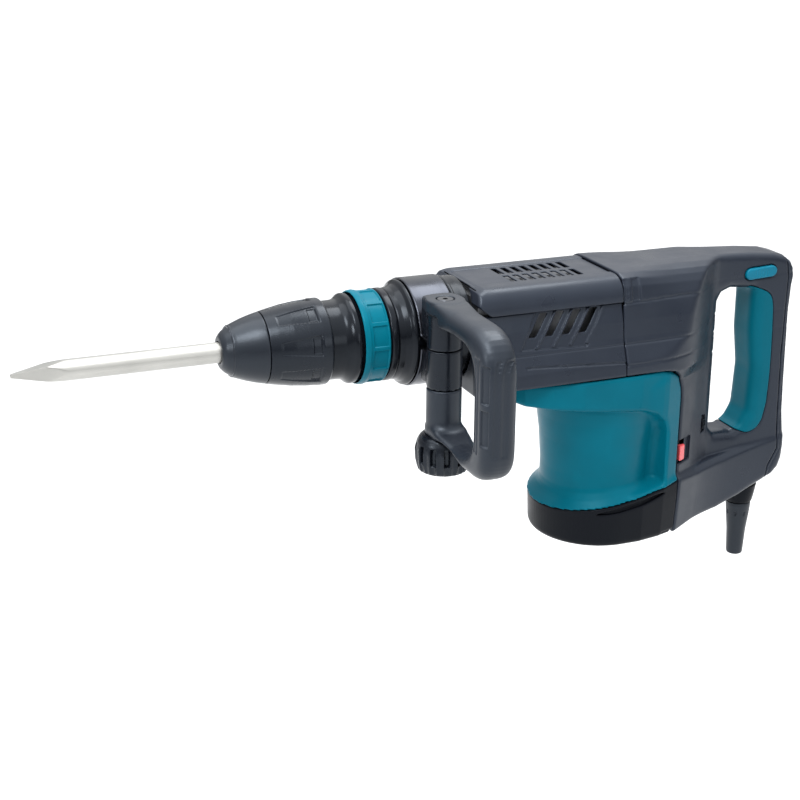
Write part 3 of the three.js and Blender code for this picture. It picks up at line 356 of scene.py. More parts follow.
# ---- materials ----
class Nodes:
    """A node material under construction: each method adds a node and returns its output."""

    def __init__(self, name):
        self.material = bpy.data.materials.new(name)
        self.material.use_nodes = True
        self.tree = self.material.node_tree
        self.shader = self.tree.nodes["Principled BSDF"]
        self.where = self.add("ShaderNodeTexCoord").outputs["Object"]

    def add(self, kind, **values):
        node = self.tree.nodes.new(kind)
        for key, value in values.items():
            setattr(node, key, value)
        return node

    def link(self, source, target):
        self.tree.links.new(source, target)
        return target

    def noise(self, scale, detail=3.0, stretch=None):
        node = self.add("ShaderNodeTexNoise")
        node.inputs["Scale"].default_value = scale
        node.inputs["Detail"].default_value = detail
        where = self.where
        if stretch:
            mapping = self.add("ShaderNodeMapping")
            mapping.inputs["Scale"].default_value = stretch
            self.link(where, mapping.inputs["Vector"])
            where = mapping.outputs["Vector"]
        self.link(where, node.inputs["Vector"])
        return node.outputs["Fac"]

    def spread(self, source, low, high, from_low=0.3, from_high=0.7):
        node = self.add("ShaderNodeMapRange")
        self.link(source, node.inputs["Value"])
        node.inputs["From Min"].default_value = from_low
        node.inputs["From Max"].default_value = from_high
        node.inputs["To Min"].default_value = low
        node.inputs["To Max"].default_value = high
        return node.outputs["Result"]

    def mix(self, share, a, b):
        node = self.add("ShaderNodeMix", data_type="RGBA")
        self.link(share, node.inputs["Factor"])
        for value, socket in ((a, node.inputs[6]), (b, node.inputs[7])):
            if isinstance(value, tuple):
                socket.default_value = (*value, 1)
            else:
                self.link(value, socket)
        return node.outputs[2]

    def bump(self, source, strength, distance, under=None):
        node = self.add("ShaderNodeBump")
        node.inputs["Strength"].default_value = strength
        node.inputs["Distance"].default_value = distance * MM
        self.link(source, node.inputs["Height"])
        if under:
            self.link(under, node.inputs["Normal"])
        return node.outputs["Normal"]

    def worn_edges(self, amount):
        """Up to amount on convex edges, where handling wears a piece."""
        node = self.add("ShaderNodeMath", operation="MULTIPLY")
        geometry = self.add("ShaderNodeNewGeometry")
        convex = self.spread(geometry.outputs["Pointiness"], 0.0, 1.0, 0.52, 0.6)
        self.link(convex, node.inputs[0])
        node.inputs[1].default_value = amount
        return node.outputs[0]

    def set(self, **values):
        for key, value in values.items():
            socket = self.shader.inputs[key.replace("_", " ")]
            if hasattr(value, "links") or isinstance(value, bpy.types.NodeSocket):
                self.link(value, socket)
            else:
                socket.default_value = value
        return self.material


GRAIN_SCALE = 1500.0  # of a moulded surface
COOL_SHEEN = (0.78, 0.88, 1.0)
TEAL_SHEEN = (0.35, 0.85, 1.0)


def tint(color, factor):
    return tuple(min(1.0, c * factor) for c in color)


def plastic(name, color, rough, grain=0.35, wear=0.25, coat=0.0, shine=0.4, sheen=COOL_SHEEN):
    """Moulded plastic or rubber: fine grain, faint clouds, uneven gloss and slightly pale edges."""
    n = Nodes(name)
    clouds = n.spread(n.noise(18.0, 4.0), 0.0, 1.0)
    base = n.mix(clouds, tint(color, 0.9), tint(color, 1.1))
    scuffs = n.spread(n.noise(90.0, 6.0, (1.0, 1.0, 0.25)), 0.0, wear, 0.62, 0.75)
    base = n.mix(scuffs, base, tint(color, 1.35))
    base = n.mix(n.worn_edges(wear), base, tint(color, 1.7))
    gloss = n.spread(n.noise(35.0, 5.0), rough - 0.07, rough + 0.09)
    normal = n.bump(n.noise(GRAIN_SCALE, 2.0), grain, 0.12)
    normal = n.bump(n.noise(9.0, 2.0), 0.06, 1.2, normal)
    n.set(Base_Color=base, Roughness=gloss, Normal=normal, Coat_Weight=coat, Coat_Roughness=0.25)
    n.set(Specular_IOR_Level=shine, Specular_Tint=(*sheen, 1))
    return n.material


def metal(name, color, rough, brush, wear=0.3):
    """Turned or brushed metal: fine lines, faint stains and bright edges."""
    n = Nodes(name)
    lines = n.noise(900.0, 2.0, brush)
    stain = n.spread(n.noise(22.0, 5.0), 0.0, 1.0)
    base = n.mix(stain, tint(color, 0.88), tint(color, 1.05))
    base = n.mix(n.worn_edges(wear), base, tint(color, 1.5))
    gloss = n.spread(n.noise(60.0, 5.0, brush), rough - 0.06, rough + 0.1)
    normal = n.bump(lines, 0.12, 0.05)
    n.set(Base_Color=base, Metallic=1.0, Roughness=gloss, Normal=normal)
    return n.material


PLASTICS = {  # colour, roughness and what differs from the usual plastic
    "casing": ((0.0112, 0.0142, 0.0225), 0.33, dict(shine=0.36)),
    "dark_casing": ((0.0022, 0.0025, 0.004), 0.34, dict(shine=0.12)),
    "soft_grip": ((0.0085, 0.011, 0.0165), 0.38, dict(grain=0.5, shine=0.42)),
    "nose_rubber": ((0.006, 0.0075, 0.011), 0.34, {}),
    "teal_housing": ((0.0001, 0.098, 0.143), 0.34, dict(grain=0.16, shine=0.14, sheen=TEAL_SHEEN)),
    "teal_grip": ((0.0004, 0.09, 0.13), 0.42, dict(grain=0.4, shine=0.15, sheen=TEAL_SHEEN)),
    "teal_switch": ((0.002, 0.14, 0.22), 0.4, dict(grain=0.2, shine=0.2)),
    "red_lens": ((0.72, 0.09, 0.10), 0.22, dict(grain=0.05, coat=0.5)),
    "carbon": ((0.02, 0.02, 0.02), 0.7, {}),
    "board": ((0.02, 0.12, 0.06), 0.5, {}),
}
METALS = {  # colour, roughness and the stretch of the brushed lines
    "steel": ((0.47, 0.465, 0.44), 0.38, (0.15, 1.0, 1.0)),
    "dark_steel": ((0.05, 0.054, 0.065), 0.22, (1.0, 0.12, 0.12)),
    "aluminium": ((0.15, 0.155, 0.165), 0.55, (1.0, 1.0, 1.0)),
    "copper": ((0.62, 0.33, 0.17), 0.4, (1.0, 1.0, 1.0)),
}
LOOKS = {name: plastic(name, *two, **more) for name, (*two, more) in PLASTICS.items()}
LOOKS |= {name: metal(name, *values) for name, values in METALS.items()}
FRONT = plastic("front_casing", (0.0045, 0.0056, 0.0085), 0.24, shine=0.3)
GLOSSY = plastic("glossy_dark", (0.0035, 0.0042, 0.006), 0.2, grain=0.03, coat=0.04, shine=0.2)
for node_name, node_object in frame["nodes"].items():
    node_object.data.materials.clear()
    node_object.data.materials.append(LOOKS[SLOT_OF[node_name]])


# ---- chisel and nose ----
SHANK_FROM = 20.0  # from here to its end the chisel is drawn as one straight length


def make_chisel():
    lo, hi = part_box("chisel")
    tip, end = lo.x / MM - NOSE, hi.x / MM - NOSE
    radius, flats_end, tip_half = 9.0, -129.0, 1.3
    flats = np.linspace(tip + 1.5, flats_end + 12, 60)
    shank = np.linspace(flats_end + 13, -60, 12)
    along = [tip, tip + 0.6, *flats, *shank, SHANK_FROM, end - 1.0, end]
    sides = 128
    angle = np.linspace(0, 2 * math.pi, sides, endpoint=False)
    rings = []
    for x in along:
        half = np.interp(x, [tip, flats_end], [tip_half, radius + 0.2])
        flat = half / np.maximum(np.abs(np.cos(angle)), np.abs(np.sin(angle)))
        k = 0.5
        h = np.clip(0.5 + 0.5 * (flat - radius) / k, 0, 1)
        r = flat * (1 - h) + radius * h - k * h * (1 - h)
        if x == tip:
            r = r * 0.6
        if x == end:
            r = r - 1.0
        rings.append(np.stack((np.full(sides, x), r * np.cos(angle), r * np.sin(angle)), axis=-1))
    places = np.concatenate(rings)
    quads = [
        (i + k, i + (k + 1) % sides, i + sides + (k + 1) % sides, i + sides + k)
        for i in range(0, (len(along) - 1) * sides, sides)
        for k in range(sides)
    ]
    caps = [tuple(range(sides)), tuple(range((len(along) - 1) * sides, len(along) * sides))]
    obj = new_piece("chisel_skin", places, quads + caps)
    tidy_mesh(obj, 24)
    dress(obj, "chisel", LOOKS["steel"])


def make_nose_cap():
    profile = [
        (0.0, 10.0), (0.0, 13.6), (3.4, 17.6), (10.6, 22.8), (20.5, 26.6), (29.0, 29.2),
        (37.4, 31.3), (37.4, 24.0), (8.0, 22.5), (8.0, 10.0),
    ]
    steps = 4
    # all but the first corner are rounded
    softened = profile[:1] + soften(profile, 1.5, steps)[steps + 1 :]
    turn("nose_cap", LOOKS["nose_rubber"], softened, sides=128, sharp_deg=50)


def window(t, half, edge):
    """1 inside |t| < half, falling to 0 over the edge width."""
    return np.clip((half - np.abs(t)) / edge + 0.5, 0, 1)


FLUTES = 8
FLUTE_TURN = -0.244  # share of a flute's pitch by which the flutes are turned


def cover_relief(along, radius, angle):
    """Long tapered pockets in the outer face that end in a deeper rectangular notch."""
    step = 2 * math.pi / FLUTES
    turn = (angle / step + FLUTE_TURN) % 1.0 - 0.5
    across = turn * step * radius
    length = np.clip((along - 47.0) / 34.0, 0, 1)
    half = 5.0 + 4.2 * length
    inside = window(along - 64.5, 17.5, 1.6) * window(across, half, 0.9)
    depth = (0.5 + 0.75 * length) * inside
    notch = window(along - 77.6, 3.6, 0.7) * window(across, 6.8, 0.7) * 0.7
    outer = radius > 31.6 + (along - 47) * 0.14
    return np.where(outer, depth + notch, 0.0)


def make_release_cover():
    outer = [
        (37.75, 31.1), (38.1, 31.5), (46.0, 33.2), (59.0, 35.7), (72.5, 37.4), (84.0, 38.2),
        (90.2, 38.1), (91.7, 36.9), (91.7, 35.6),
    ]
    inner = [(78.5, 35.4), (75.0, 33.4), (44.0, 29.4), (44.0, 23.0), (37.75, 23.0)]
    profile = soften(outer + inner, 0.6, 3)
    turn(
        "release_cover", FRONT, profile, sides=720, relief=cover_relief, spacing=0.45, sharp_deg=30
    )


def make_holder_sleeve():
    profile = [
        (91.2, 24.0), (91.2, 34.4), (92.2, 34.9), (102.0, 34.9), (105.4, 35.2), (108.6, 37.0),
        (111.0, 39.2), (112.6, 39.9), (115.6, 39.9), (116.4, 39.2), (116.6, 37.0), (142.2, 37.0),
        (142.2, 33.6), (112.0, 33.6), (96.0, 31.0), (96.0, 24.0),
    ]
    turn("holder_sleeve", GLOSSY, soften(profile, 1.6, 4), sides=160, sharp_deg=50)


GRIP_POCKETS = 12  # round the change ring and round the knob


def ring_relief(along, radius, angle):
    """Plain pockets with narrow bars between them."""
    step = 2 * math.pi / GRIP_POCKETS
    across = ((angle / step) % 1.0 - 0.5) * step * radius
    pocket = window(along - 133.6, 6.8, 0.6) * window(across, 9.0, 0.8)
    return np.where(radius > 40.9, 1.2 * pocket, 0.0)


def make_change_ring():
    profile = [
        (119.0, 40.1), (119.0, 40.9), (120.2, 41.5), (123.6, 42.0), (125.0, 41.4), (141.2, 41.4),
        (142.2, 40.6), (142.2, 37.6), (131.5, 37.6), (131.5, 40.1),
    ]
    profile = soften(profile, 0.7, 3)
    turn(
        "change_ring", LOOKS["teal_housing"], profile,
        sides=720, relief=ring_relief, spacing=0.45, sharp_deg=30,
    )


def make_barrel():
    ring = [
        (143.2, 33.6), (143.2, 39.6), (144.4, 41.2), (148.8, 41.4), (150.0, 40.9), (150.0, 33.6),
    ]
    turn("index_ring", GLOSSY, soften(ring, 0.8, 3), sides=160, sharp_deg=50)
    body = [
        (143.4, 23.0), (143.4, 33.0), (150.3, 33.0), (150.3, 39.6), (151.4, 40.6), (156.0, 41.4),
        (160.5, 43.6), (162.6, 46.4), (164.0, 47.2), (165.6, 47.0), (166.2, 45.4), (203.0, 45.4),
        (204.0, 46.8), (206.4, 46.9), (207.0, 45.2), (213.0, 46.0), (218.4, 46.0), (218.4, 38.0),
        (222.0, 38.0), (222.0, 27.0), (147.4, 27.0), (147.4, 23.0),
    ]
    turn("barrel", GLOSSY, soften(body, 0.8, 3), sides=160, sharp_deg=50)


# ---- clamp, knob, cord entry ----
SPLIT_Z = 4.0  # the clamp band and its tube are split here
TUBE_R = 15.4
BOLT_HOLE_R = 5.4
ROUND_CLAMP = (150, 210)  # x range of boxes that cut right through the clamp


def make_clamp():
    g = Grid((BAND[0] - 3, BAND[1] + 3), (-66, 52), (-52, 52), 0.8, even=False)
    hoop = np.maximum(g.cylinder("x", (0, 0), 48.4), -g.cylinder("x", (0, 0), 45.9))
    hoop = smax(hoop, g.box(BAND, WIDE, WIDE), 1.2)
    mouth = g.box((150, 220), (-70, -30), (SPLIT_Z - 3.4, SPLIT_Z + 3.4))
    hoop = smax(hoop, -mouth, 0.8)
    for z0, z1 in ((SPLIT_Z + 3.4, SPLIT_Z + 6), (SPLIT_Z - 6, SPLIT_Z - 3.4)):
        upright = g.box((BAND[0], 193), (-61, -46), WIDE)
        ear = smax(upright, g.box(ROUND_CLAMP, (-90, 0), (z0, z1)), 0.8)
        hoop = smin(hoop, ear, 1.0)
    g.piece("clamp_band", hoop, LOOKS["dark_steel"], 1)

    for node, z0, z1 in (
        ("clamp_upper_half", SPLIT_Z + 0.5, TUBE_TOP),
        ("clamp_lower_half", TUBE_BOTTOM, SPLIT_Z - 0.5),
    ):
        g = Grid((CLAMP_X - 18, CLAMP_X + 18), (-86, -42), (z0 - 3, z1 + 3), 0.6, even=False)
        tube = g.cylinder("z", BOLT_AXIS, TUBE_R)
        saddle = g.box((CLAMP_X - 12, CLAMP_X + 12), (CLAMP_Y, -44), WIDE)
        body = smin(tube, saddle, 3)
        angle = np.arctan2(g.Y - CLAMP_Y, g.X - CLAMP_X)
        wave = 0.8 * (0.5 + 0.5 * np.sin(angle * 14))
        if node == "clamp_upper_half":
            slab = np.maximum(g.Z - (z1 - wave), z0 - g.Z)
        else:
            slab = np.maximum(g.Z - z1, (z0 + wave) - g.Z)
        body = smax(body, slab, 1.0)
        body = smax(body, -g.cylinder("x", (0, 0), 48.9), 0.6)
        body = smax(body, -g.cylinder("z", BOLT_AXIS, BOLT_HOLE_R), 0.4)
        body = smax(body, -g.box(ROUND_CLAMP, (-61.5, -40), (SPLIT_Z - 6.4, SPLIT_Z + 6.4)), 0.4)
        g.piece(node, body, FRONT, 1)


def make_clamp_bolt():
    profile = [
        (-97.9, 0.0), (-97.9, 5.0), (38.2, 5.0), (38.2, 7.5), (46.4, 7.5), (47.2, 6.8),
        (47.2, 2.2), (45.8, 2.0), (45.8, 0.0),
    ]
    turn("clamp_bolt", LOOKS["dark_steel"], profile, "z", (*BOLT_AXIS, 0), sides=72)


def knob_relief(along, radius, angle):
    """Deep slots below the shoulder, with fainter lines down to the rim."""
    step = 2 * math.pi / GRIP_POCKETS
    across = ((angle / step) % 1.0 - 0.5) * step * radius
    slot = window(along + 89.5, 7.6, 0.8) * window(across, 2.3, 0.7) * 3.2
    line = window(along + 97.0, 14.0, 1.5) * window(across, 2.6, 1.2) * 0.9
    lobe = 0.35 * (1 + np.cos(angle * 24)) * window(along + 98.0, 12.0, 4.0)
    return np.where(radius > 20.4, slot + line + lobe, 0.0)


def make_knob():
    outer = [
        (-74.0, 10.0), (-74.0, 18.6), (-76.0, 21.0), (-80.0, 23.2), (-87.5, 25.0), (-98.0, 24.4),
        (-105.2, 22.8), (-106.9, 21.0), (-106.9, 17.6), (-88.2, 17.6), (-88.2, 10.0),
    ]
    inner = [(-98.0, 10.0), (-98.0, 5.2), (-74.0, 5.2)]
    profile = soften(outer + inner, 1.4, 4)
    turn("clamp_knob", FRONT, profile, "z", (*BOLT_AXIS, 0), 480, knob_relief, 0.5, 35)


def guard_relief(along, radius, angle):
    """A ring of small notches below the guard's collar."""
    notch = window(along + 232.0, 2.2, 0.8) * window(np.sin(angle * 4), 0.35, 0.2)
    return np.where(radius > 10.6, notch, 0.0)


def make_cord_entry():
    gland = [
        (-220.0, 10.0), (-220.0, 12.9), (-218.6, 13.5), (-212.0, 14.8), (-200.5, 16.6),
        (-200.5, 11.8), (-197.2, 11.8), (-197.2, 10.0),
    ]
    turn("cord_gland", LOOKS["dark_casing"], soften(gland, 1.0, 3), "z", (CORD_X, 0, 0), 96)
    guard = [
        (-279.0, 4.4), (-279.0, 7.7), (-277.6, 8.3), (-252.0, 9.6), (-236.0, 11.3), (-224.0, 12.4),
        (-220.8, 12.2), (-220.8, 9.5), (-200.2, 9.5), (-200.2, 4.4),
    ]
    turn(
        "cord_guard", LOOKS["nose_rubber"], soften(guard, 0.8, 3),
        "z", (CORD_X, 0, 0), 160, guard_relief, 0.8,
    )


# ---- side handle ----
def quad_curve(a, b, c, steps=10):
    """Points from a to c on a curve that bends towards b."""
    return [
        ((1 - t) ** 2 * a[0] + 2 * t * (1 - t) * b[0] + t * t * c[0],
         (1 - t) ** 2 * a[1] + 2 * t * (1 - t) * b[1] + t * t * c[1])
        for t in np.linspace(0, 1, steps + 1)
    ]


def make_side_handle():
    half = 15.5
    g = Grid((CLAMP_X - half - 3, CLAMP_X + half + 3), (-188, -46), (-85, 51), 0.8, even=False)
    outline = [(-51, 28), (-51, BOSS_TOP)]
    outline += quad_curve((-146, BOSS_TOP), (-184, BOSS_TOP - 1), (-184.8, 10))
    outline += quad_curve((-184.8, -52), (-184.5, -79), (-158, -81))
    outline += [(-134, -81.3), (-96, BOSS_BOTTOM), (-53, BOSS_BOTTOM), (-53, -66), (-84, -66.5)]
    outline += quad_curve((-108, -70), (-155, -74), (-155, -44))
    outline += quad_curve((-155, 4), (-155, 25), (-130, 26.5))
    outline += [(-84, 28)]
    profile = g.along_x(outline)
    along = np.abs(g.X - CLAMP_X) - half
    wide = np.clip((-g.Y - 84) / 26.0, 0, 1)
    body = smax(profile, along, 4.0 + 9.0 * wide)
    # beside the bolt the lower arm stays within a round as wide as the boss
    near_boss = g.cylinder("z", BOLT_AXIS, 15.8)
    near_boss = np.where(g.Z < 0, np.where(g.Y > CLAMP_Y, near_boss, -50.0), -50.0)
    body = smax(body, near_boss, 1.0)
    middle = g.box(ROUND_CLAMP, (-86.5, -30), (TUBE_BOTTOM - 0.4, TUBE_TOP + 0.4))
    body = smax(body, -middle, 2.0)
    r = g.cylinder("z", BOLT_AXIS, 0)
    middle_z, half_z = (TUBE_TOP + BOSS_TOP + 0.4) / 2, (BOSS_TOP - TUBE_TOP - 0.4) / 2
    upper = smax(r - 16.7, np.abs(g.Z - middle_z) - half_z, 1.6)
    body = smin(body, upper, 2.5)
    lower_z = np.maximum(g.Z - (TUBE_BOTTOM - 0.4), BOSS_BOTTOM - g.Z)
    lower = smax(r - TUBE_R, lower_z, 1.6)
    body = smin(body, lower, 3.0 + 6.0 * np.clip((-g.Y - 72) / 10, 0, 1))
    # the grip's rows of pockets, on the side that faces outward and forward
    at = (CLAMP_X, -170.0)
    direction = (-0.84, -0.55)
    u = (g.X - at[0]) * direction[0] + (g.Y - at[1]) * direction[1]
    v = (g.X - at[0]) * direction[1] - (g.Y - at[1]) * direction[0]
    skin = body
    for z0, z1 in ((-9, 22), (-45, -15)):
        pocket = np.maximum(np.abs(v) - 3.6, np.abs(g.Z - (z0 + z1) / 2) - (z1 - z0) / 2)
        body = np.where(u > 0, carve(body, pocket, skin, 1.3, 0.6), body)
    for centre in (8.5, 13.0, -8.5, -13.0):
        line = np.maximum(np.abs(v - centre) - 1.1, np.abs(g.Z + 14) - 40)
        body = np.where(u > -8, carve(body, line, skin, 0.8, 0.6), body)
    body = smax(body, -g.cylinder("z", BOLT_AXIS, BOLT_HOLE_R), 0.4)
    head = np.maximum(g.cylinder("z", BOLT_AXIS, 8.0), 37.6 - g.Z)
    body = smax(body, -head, 0.5)
    body = np.maximum(body, -g.box(ROUND_CLAMP, (-50.9, -40), (20, 60)))
    g.piece("side_handle", body, LOOKS["soft_grip"], 2)


# ---- motor housing and base ----
SEAM_FRONT, SEAM_SLOPE, SEAM_AT = -183.5, 0.175, 306.0


def seam_z(x):
    """Height of the sloping seam between the motor housing and its base."""
    return SEAM_FRONT + SEAM_SLOPE * (x - SEAM_AT)


def make_motor_housing():
    g = Grid((246, 434), (-70, 0), (-204, -43), 1.0)
    plan_half = [
        (250, -26), (253, -40), (266, -53), (290, -61), (320, -65.5), (380, -65.5), (410, -61.5),
        (HOUSING_REAR, -52.4),
    ]
    plan = mirrored_plan(plan_half)
    side = [
        (249, SHELF_Z), (402, SHELF_Z), (414, -49.5), (424, -57), (429.4, -70),
        (HOUSING_REAR, -80), (HOUSING_REAR, -168), (413, -168), (413, -108), (409, -96),
        (400, -87), (381, -82), (342, -78), (297, -72), (267, -67), (249, -61),
    ]
    shoulder = smax(g.along_z(plan), g.along_y(side), 4)
    r = g.cylinder("z", (MOTOR_X, 0), 0)
    slope = np.clip((-150 - g.Z) / 22, 0, 1) * 0.15 * (g.X - MOTOR_X)
    z = g.Z - slope
    neck_z = [-205, -173.5, -171.0, -166.5, -162, -159, -150, -120, -98, -84, -60, -40]
    neck_r = [66, 65.4, 62.6, 58.0, 54.2, 53.0, 52.8, 55.0, 58.0, 61.0, 62.0, 62.0]
    radius = ramp(z, neck_z, neck_r)
    neck = (r - radius) * 0.9
    neck = smax(neck, g.Z + 66, 4)
    body = smin(shoulder, neck, 3 + 15 * np.clip((g.X - 384) / 20, 0, 1))
    foot_edge = [(376, -65.2), (390, -64.8), (412, -61.8), (HOUSING_REAR, -56.4)]
    foot = mirrored_plan([(370, -65.4)] + foot_edge)
    rise = g.Z - (seam_z(g.X) + 3.5)
    foot_body = smax(g.along_z(foot), rise, 8)
    foot_body = smax(foot_body, 376 - g.X, 4)
    body = smin(body, foot_body, 5)
    body = smax(body, seam_z(g.X) + 0.3 - g.Z, 0.8)
    body = smax(body, g.Z - SHELF_Z, 1.0)
    room_r = np.interp(z, [-205, -175, -166, -160], [61, 60, 50, 45])
    room = np.where(z < -160, r - room_r, r - 45.1)
    upper_side = [
        (256, -40), (402, -40), (414, -56), (421, -71), (381, -74), (340, -70.5), (297, -62),
        (262, -54.5), (256, -51),
    ]
    upper_plan = [(x + (3.2 if x < 340 else -3.2), y + 3.2) for x, y in plan_half]
    upper = np.maximum(g.along_z(mirrored_plan(upper_plan)), g.along_y(upper_side))
    body = np.maximum(body, -np.minimum(room, upper))
    g.piece("motor_housing", body, LOOKS["teal_housing"], 3)


BASE_SCREWS = ((316, 0), (408, -36))  # the grid mirrors the second one


def make_base():
    g = Grid((302, 433), (-68, 0), (BASE_Z - 2, -160), 0.65)
    front = arc(MOTOR_X, 0, 64.3, 90, 180, 24)
    half = [(x, -y) for x, y in front][::-1]
    side = [(388, -64.6), (412, -60.6), (430.2, -55.0)]
    plan = mirrored_plan(half + side)
    outer = g.along_z(plan)
    taper = np.clip((g.Z - BASE_Z) / 40.0, 0, 1)
    outer = outer + 1.6 * (1 - taper)
    body = smax(outer, BASE_Z - g.Z, 7)
    body = smax(body, g.Z - (seam_z(g.X) - 0.4), 0.8)
    slot_x, slot_half, slot_tall = 378.0, 36.0, 3.4
    drop = slot_tall * np.sqrt(np.clip(1 - ((g.X - slot_x) / slot_half) ** 2, 0, 1))
    slot = np.abs(g.Z - (seam_z(g.X) - 5.5)) - drop + 0.4
    body = carve(body, slot, outer, 3.4, 0.8)
    notch = np.maximum(np.abs(g.X - 421) - 7, g.Z - (BASE_Z + 5))
    body = carve(body, notch, outer, 2.2, 0.8)
    hollow = np.maximum(g.along_z(plan) + 5.2, BASE_Z + 3.2 - g.Z)
    for at in BASE_SCREWS:
        hollow = np.maximum(hollow, -g.cylinder("z", at, 5))
    body = np.maximum(body, -hollow)
    for at in BASE_SCREWS:
        sink = np.maximum(g.cylinder("z", at, 4.4), g.Z - (BASE_Z + 5))
        bore = g.cylinder("z", at, 2.4)
        body = np.maximum(body, -np.minimum(sink, bore))
    g.piece("base_cover", body, LOOKS["dark_casing"], 2)


# ---- rear casing, handle and its controls ----
LOWER_HALF = [(66, -240), (66, -36), (65, -33), (58.5, -17), (57, -12)]
HALF_SECTION = LOWER_HALF + [
    (55.5, 4), (53.5, 20), (51, 34),
    (47, 41.5), (38, 45.4), (24, 46.9),
]
HALF_SECTION_REAR = LOWER_HALF + [
    (54.5, 4), (52, 14), (49, 24),
    (45.5, 32), (41, 38), (36, 42), (27, 45), (15, 46.8), (0, 47.6),
]
HAND_HOLE = [
    (486.5, -128), (486, 0), (490, 7), (500, 10.5), (524, 8), (526, 2), (526.5, -38), (531.5, -75),
    (529.5, -118), (522, -131), (512, -136), (492, -135),
]
GRIP_OUTLINE = [
    (520, 12), (532, 8), (541, 4), (546, -2), (548, -12), (549.6, -40), (550.6, -80),
    (549.4, -110), (545.6, -128), (540, -136), (530, -139.5), (514, -134),
]
STRIP = [
    (600, 60), (552, 60), (560, 34), (562.5, 18), (562, -60), (564, -122), (566, -160),
    (556, -178), (548, -240), (600, -240),
]
DIAL_AT = (467.9, -19.2, -119.5)
DIAL_TURN = -50.3  # degrees
DIAL_R, DIAL_HALF = 11.0, 3.4
HANDLE_SIDE = [  # side view of the rear casing with its D handle
    (SEAM_X - 12, -46), (SEAM_X - 12, 45.2), (440, 46.5), (480, 46.3), (520, 44.0),
    (546, 41.2), (558, 38.0), (566, 32), (570, 24.5), (571, 16), (569.6, 8), (568.6, -20),
    (570.6, -90), (572.0, -122), (574.6, -142), (575.2, -158), (574.2, -172), (571, -181.5),
    (564, -188.6), (556, -192), (521, -206), (495, -212.4),
    (CASING_FRONT, BASE_Z), (CASING_FRONT, -80),
    (429.8, -69.5), (424.6, -56.4), (416.5, -49.2), (405, -46.6), (391, -46),
]
SKIRT_TOP = ([CASING_FRONT, 460, 500, 560, 580], [-161, -163.5, -160, -150, -149])  # x and z


def lever_outline(grow):
    """Side view of the switch lever, a slightly tilted pill, made larger by grow."""
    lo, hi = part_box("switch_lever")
    x0, x1 = lo.x / MM - NOSE, hi.x / MM - NOSE
    z0, z1 = lo.z / MM - AXIS_Z, hi.z / MM - AXIS_Z
    reach = (z1 - z0 - 1.2) / 2
    end = reach + grow
    middle = (z0 + z1) / 2
    right = arc(x1 - reach, middle + 0.6, end, -90, 90, 12)
    left = arc(x0 + reach, middle - 0.6, end, 90, 270, 12)
    return right + left


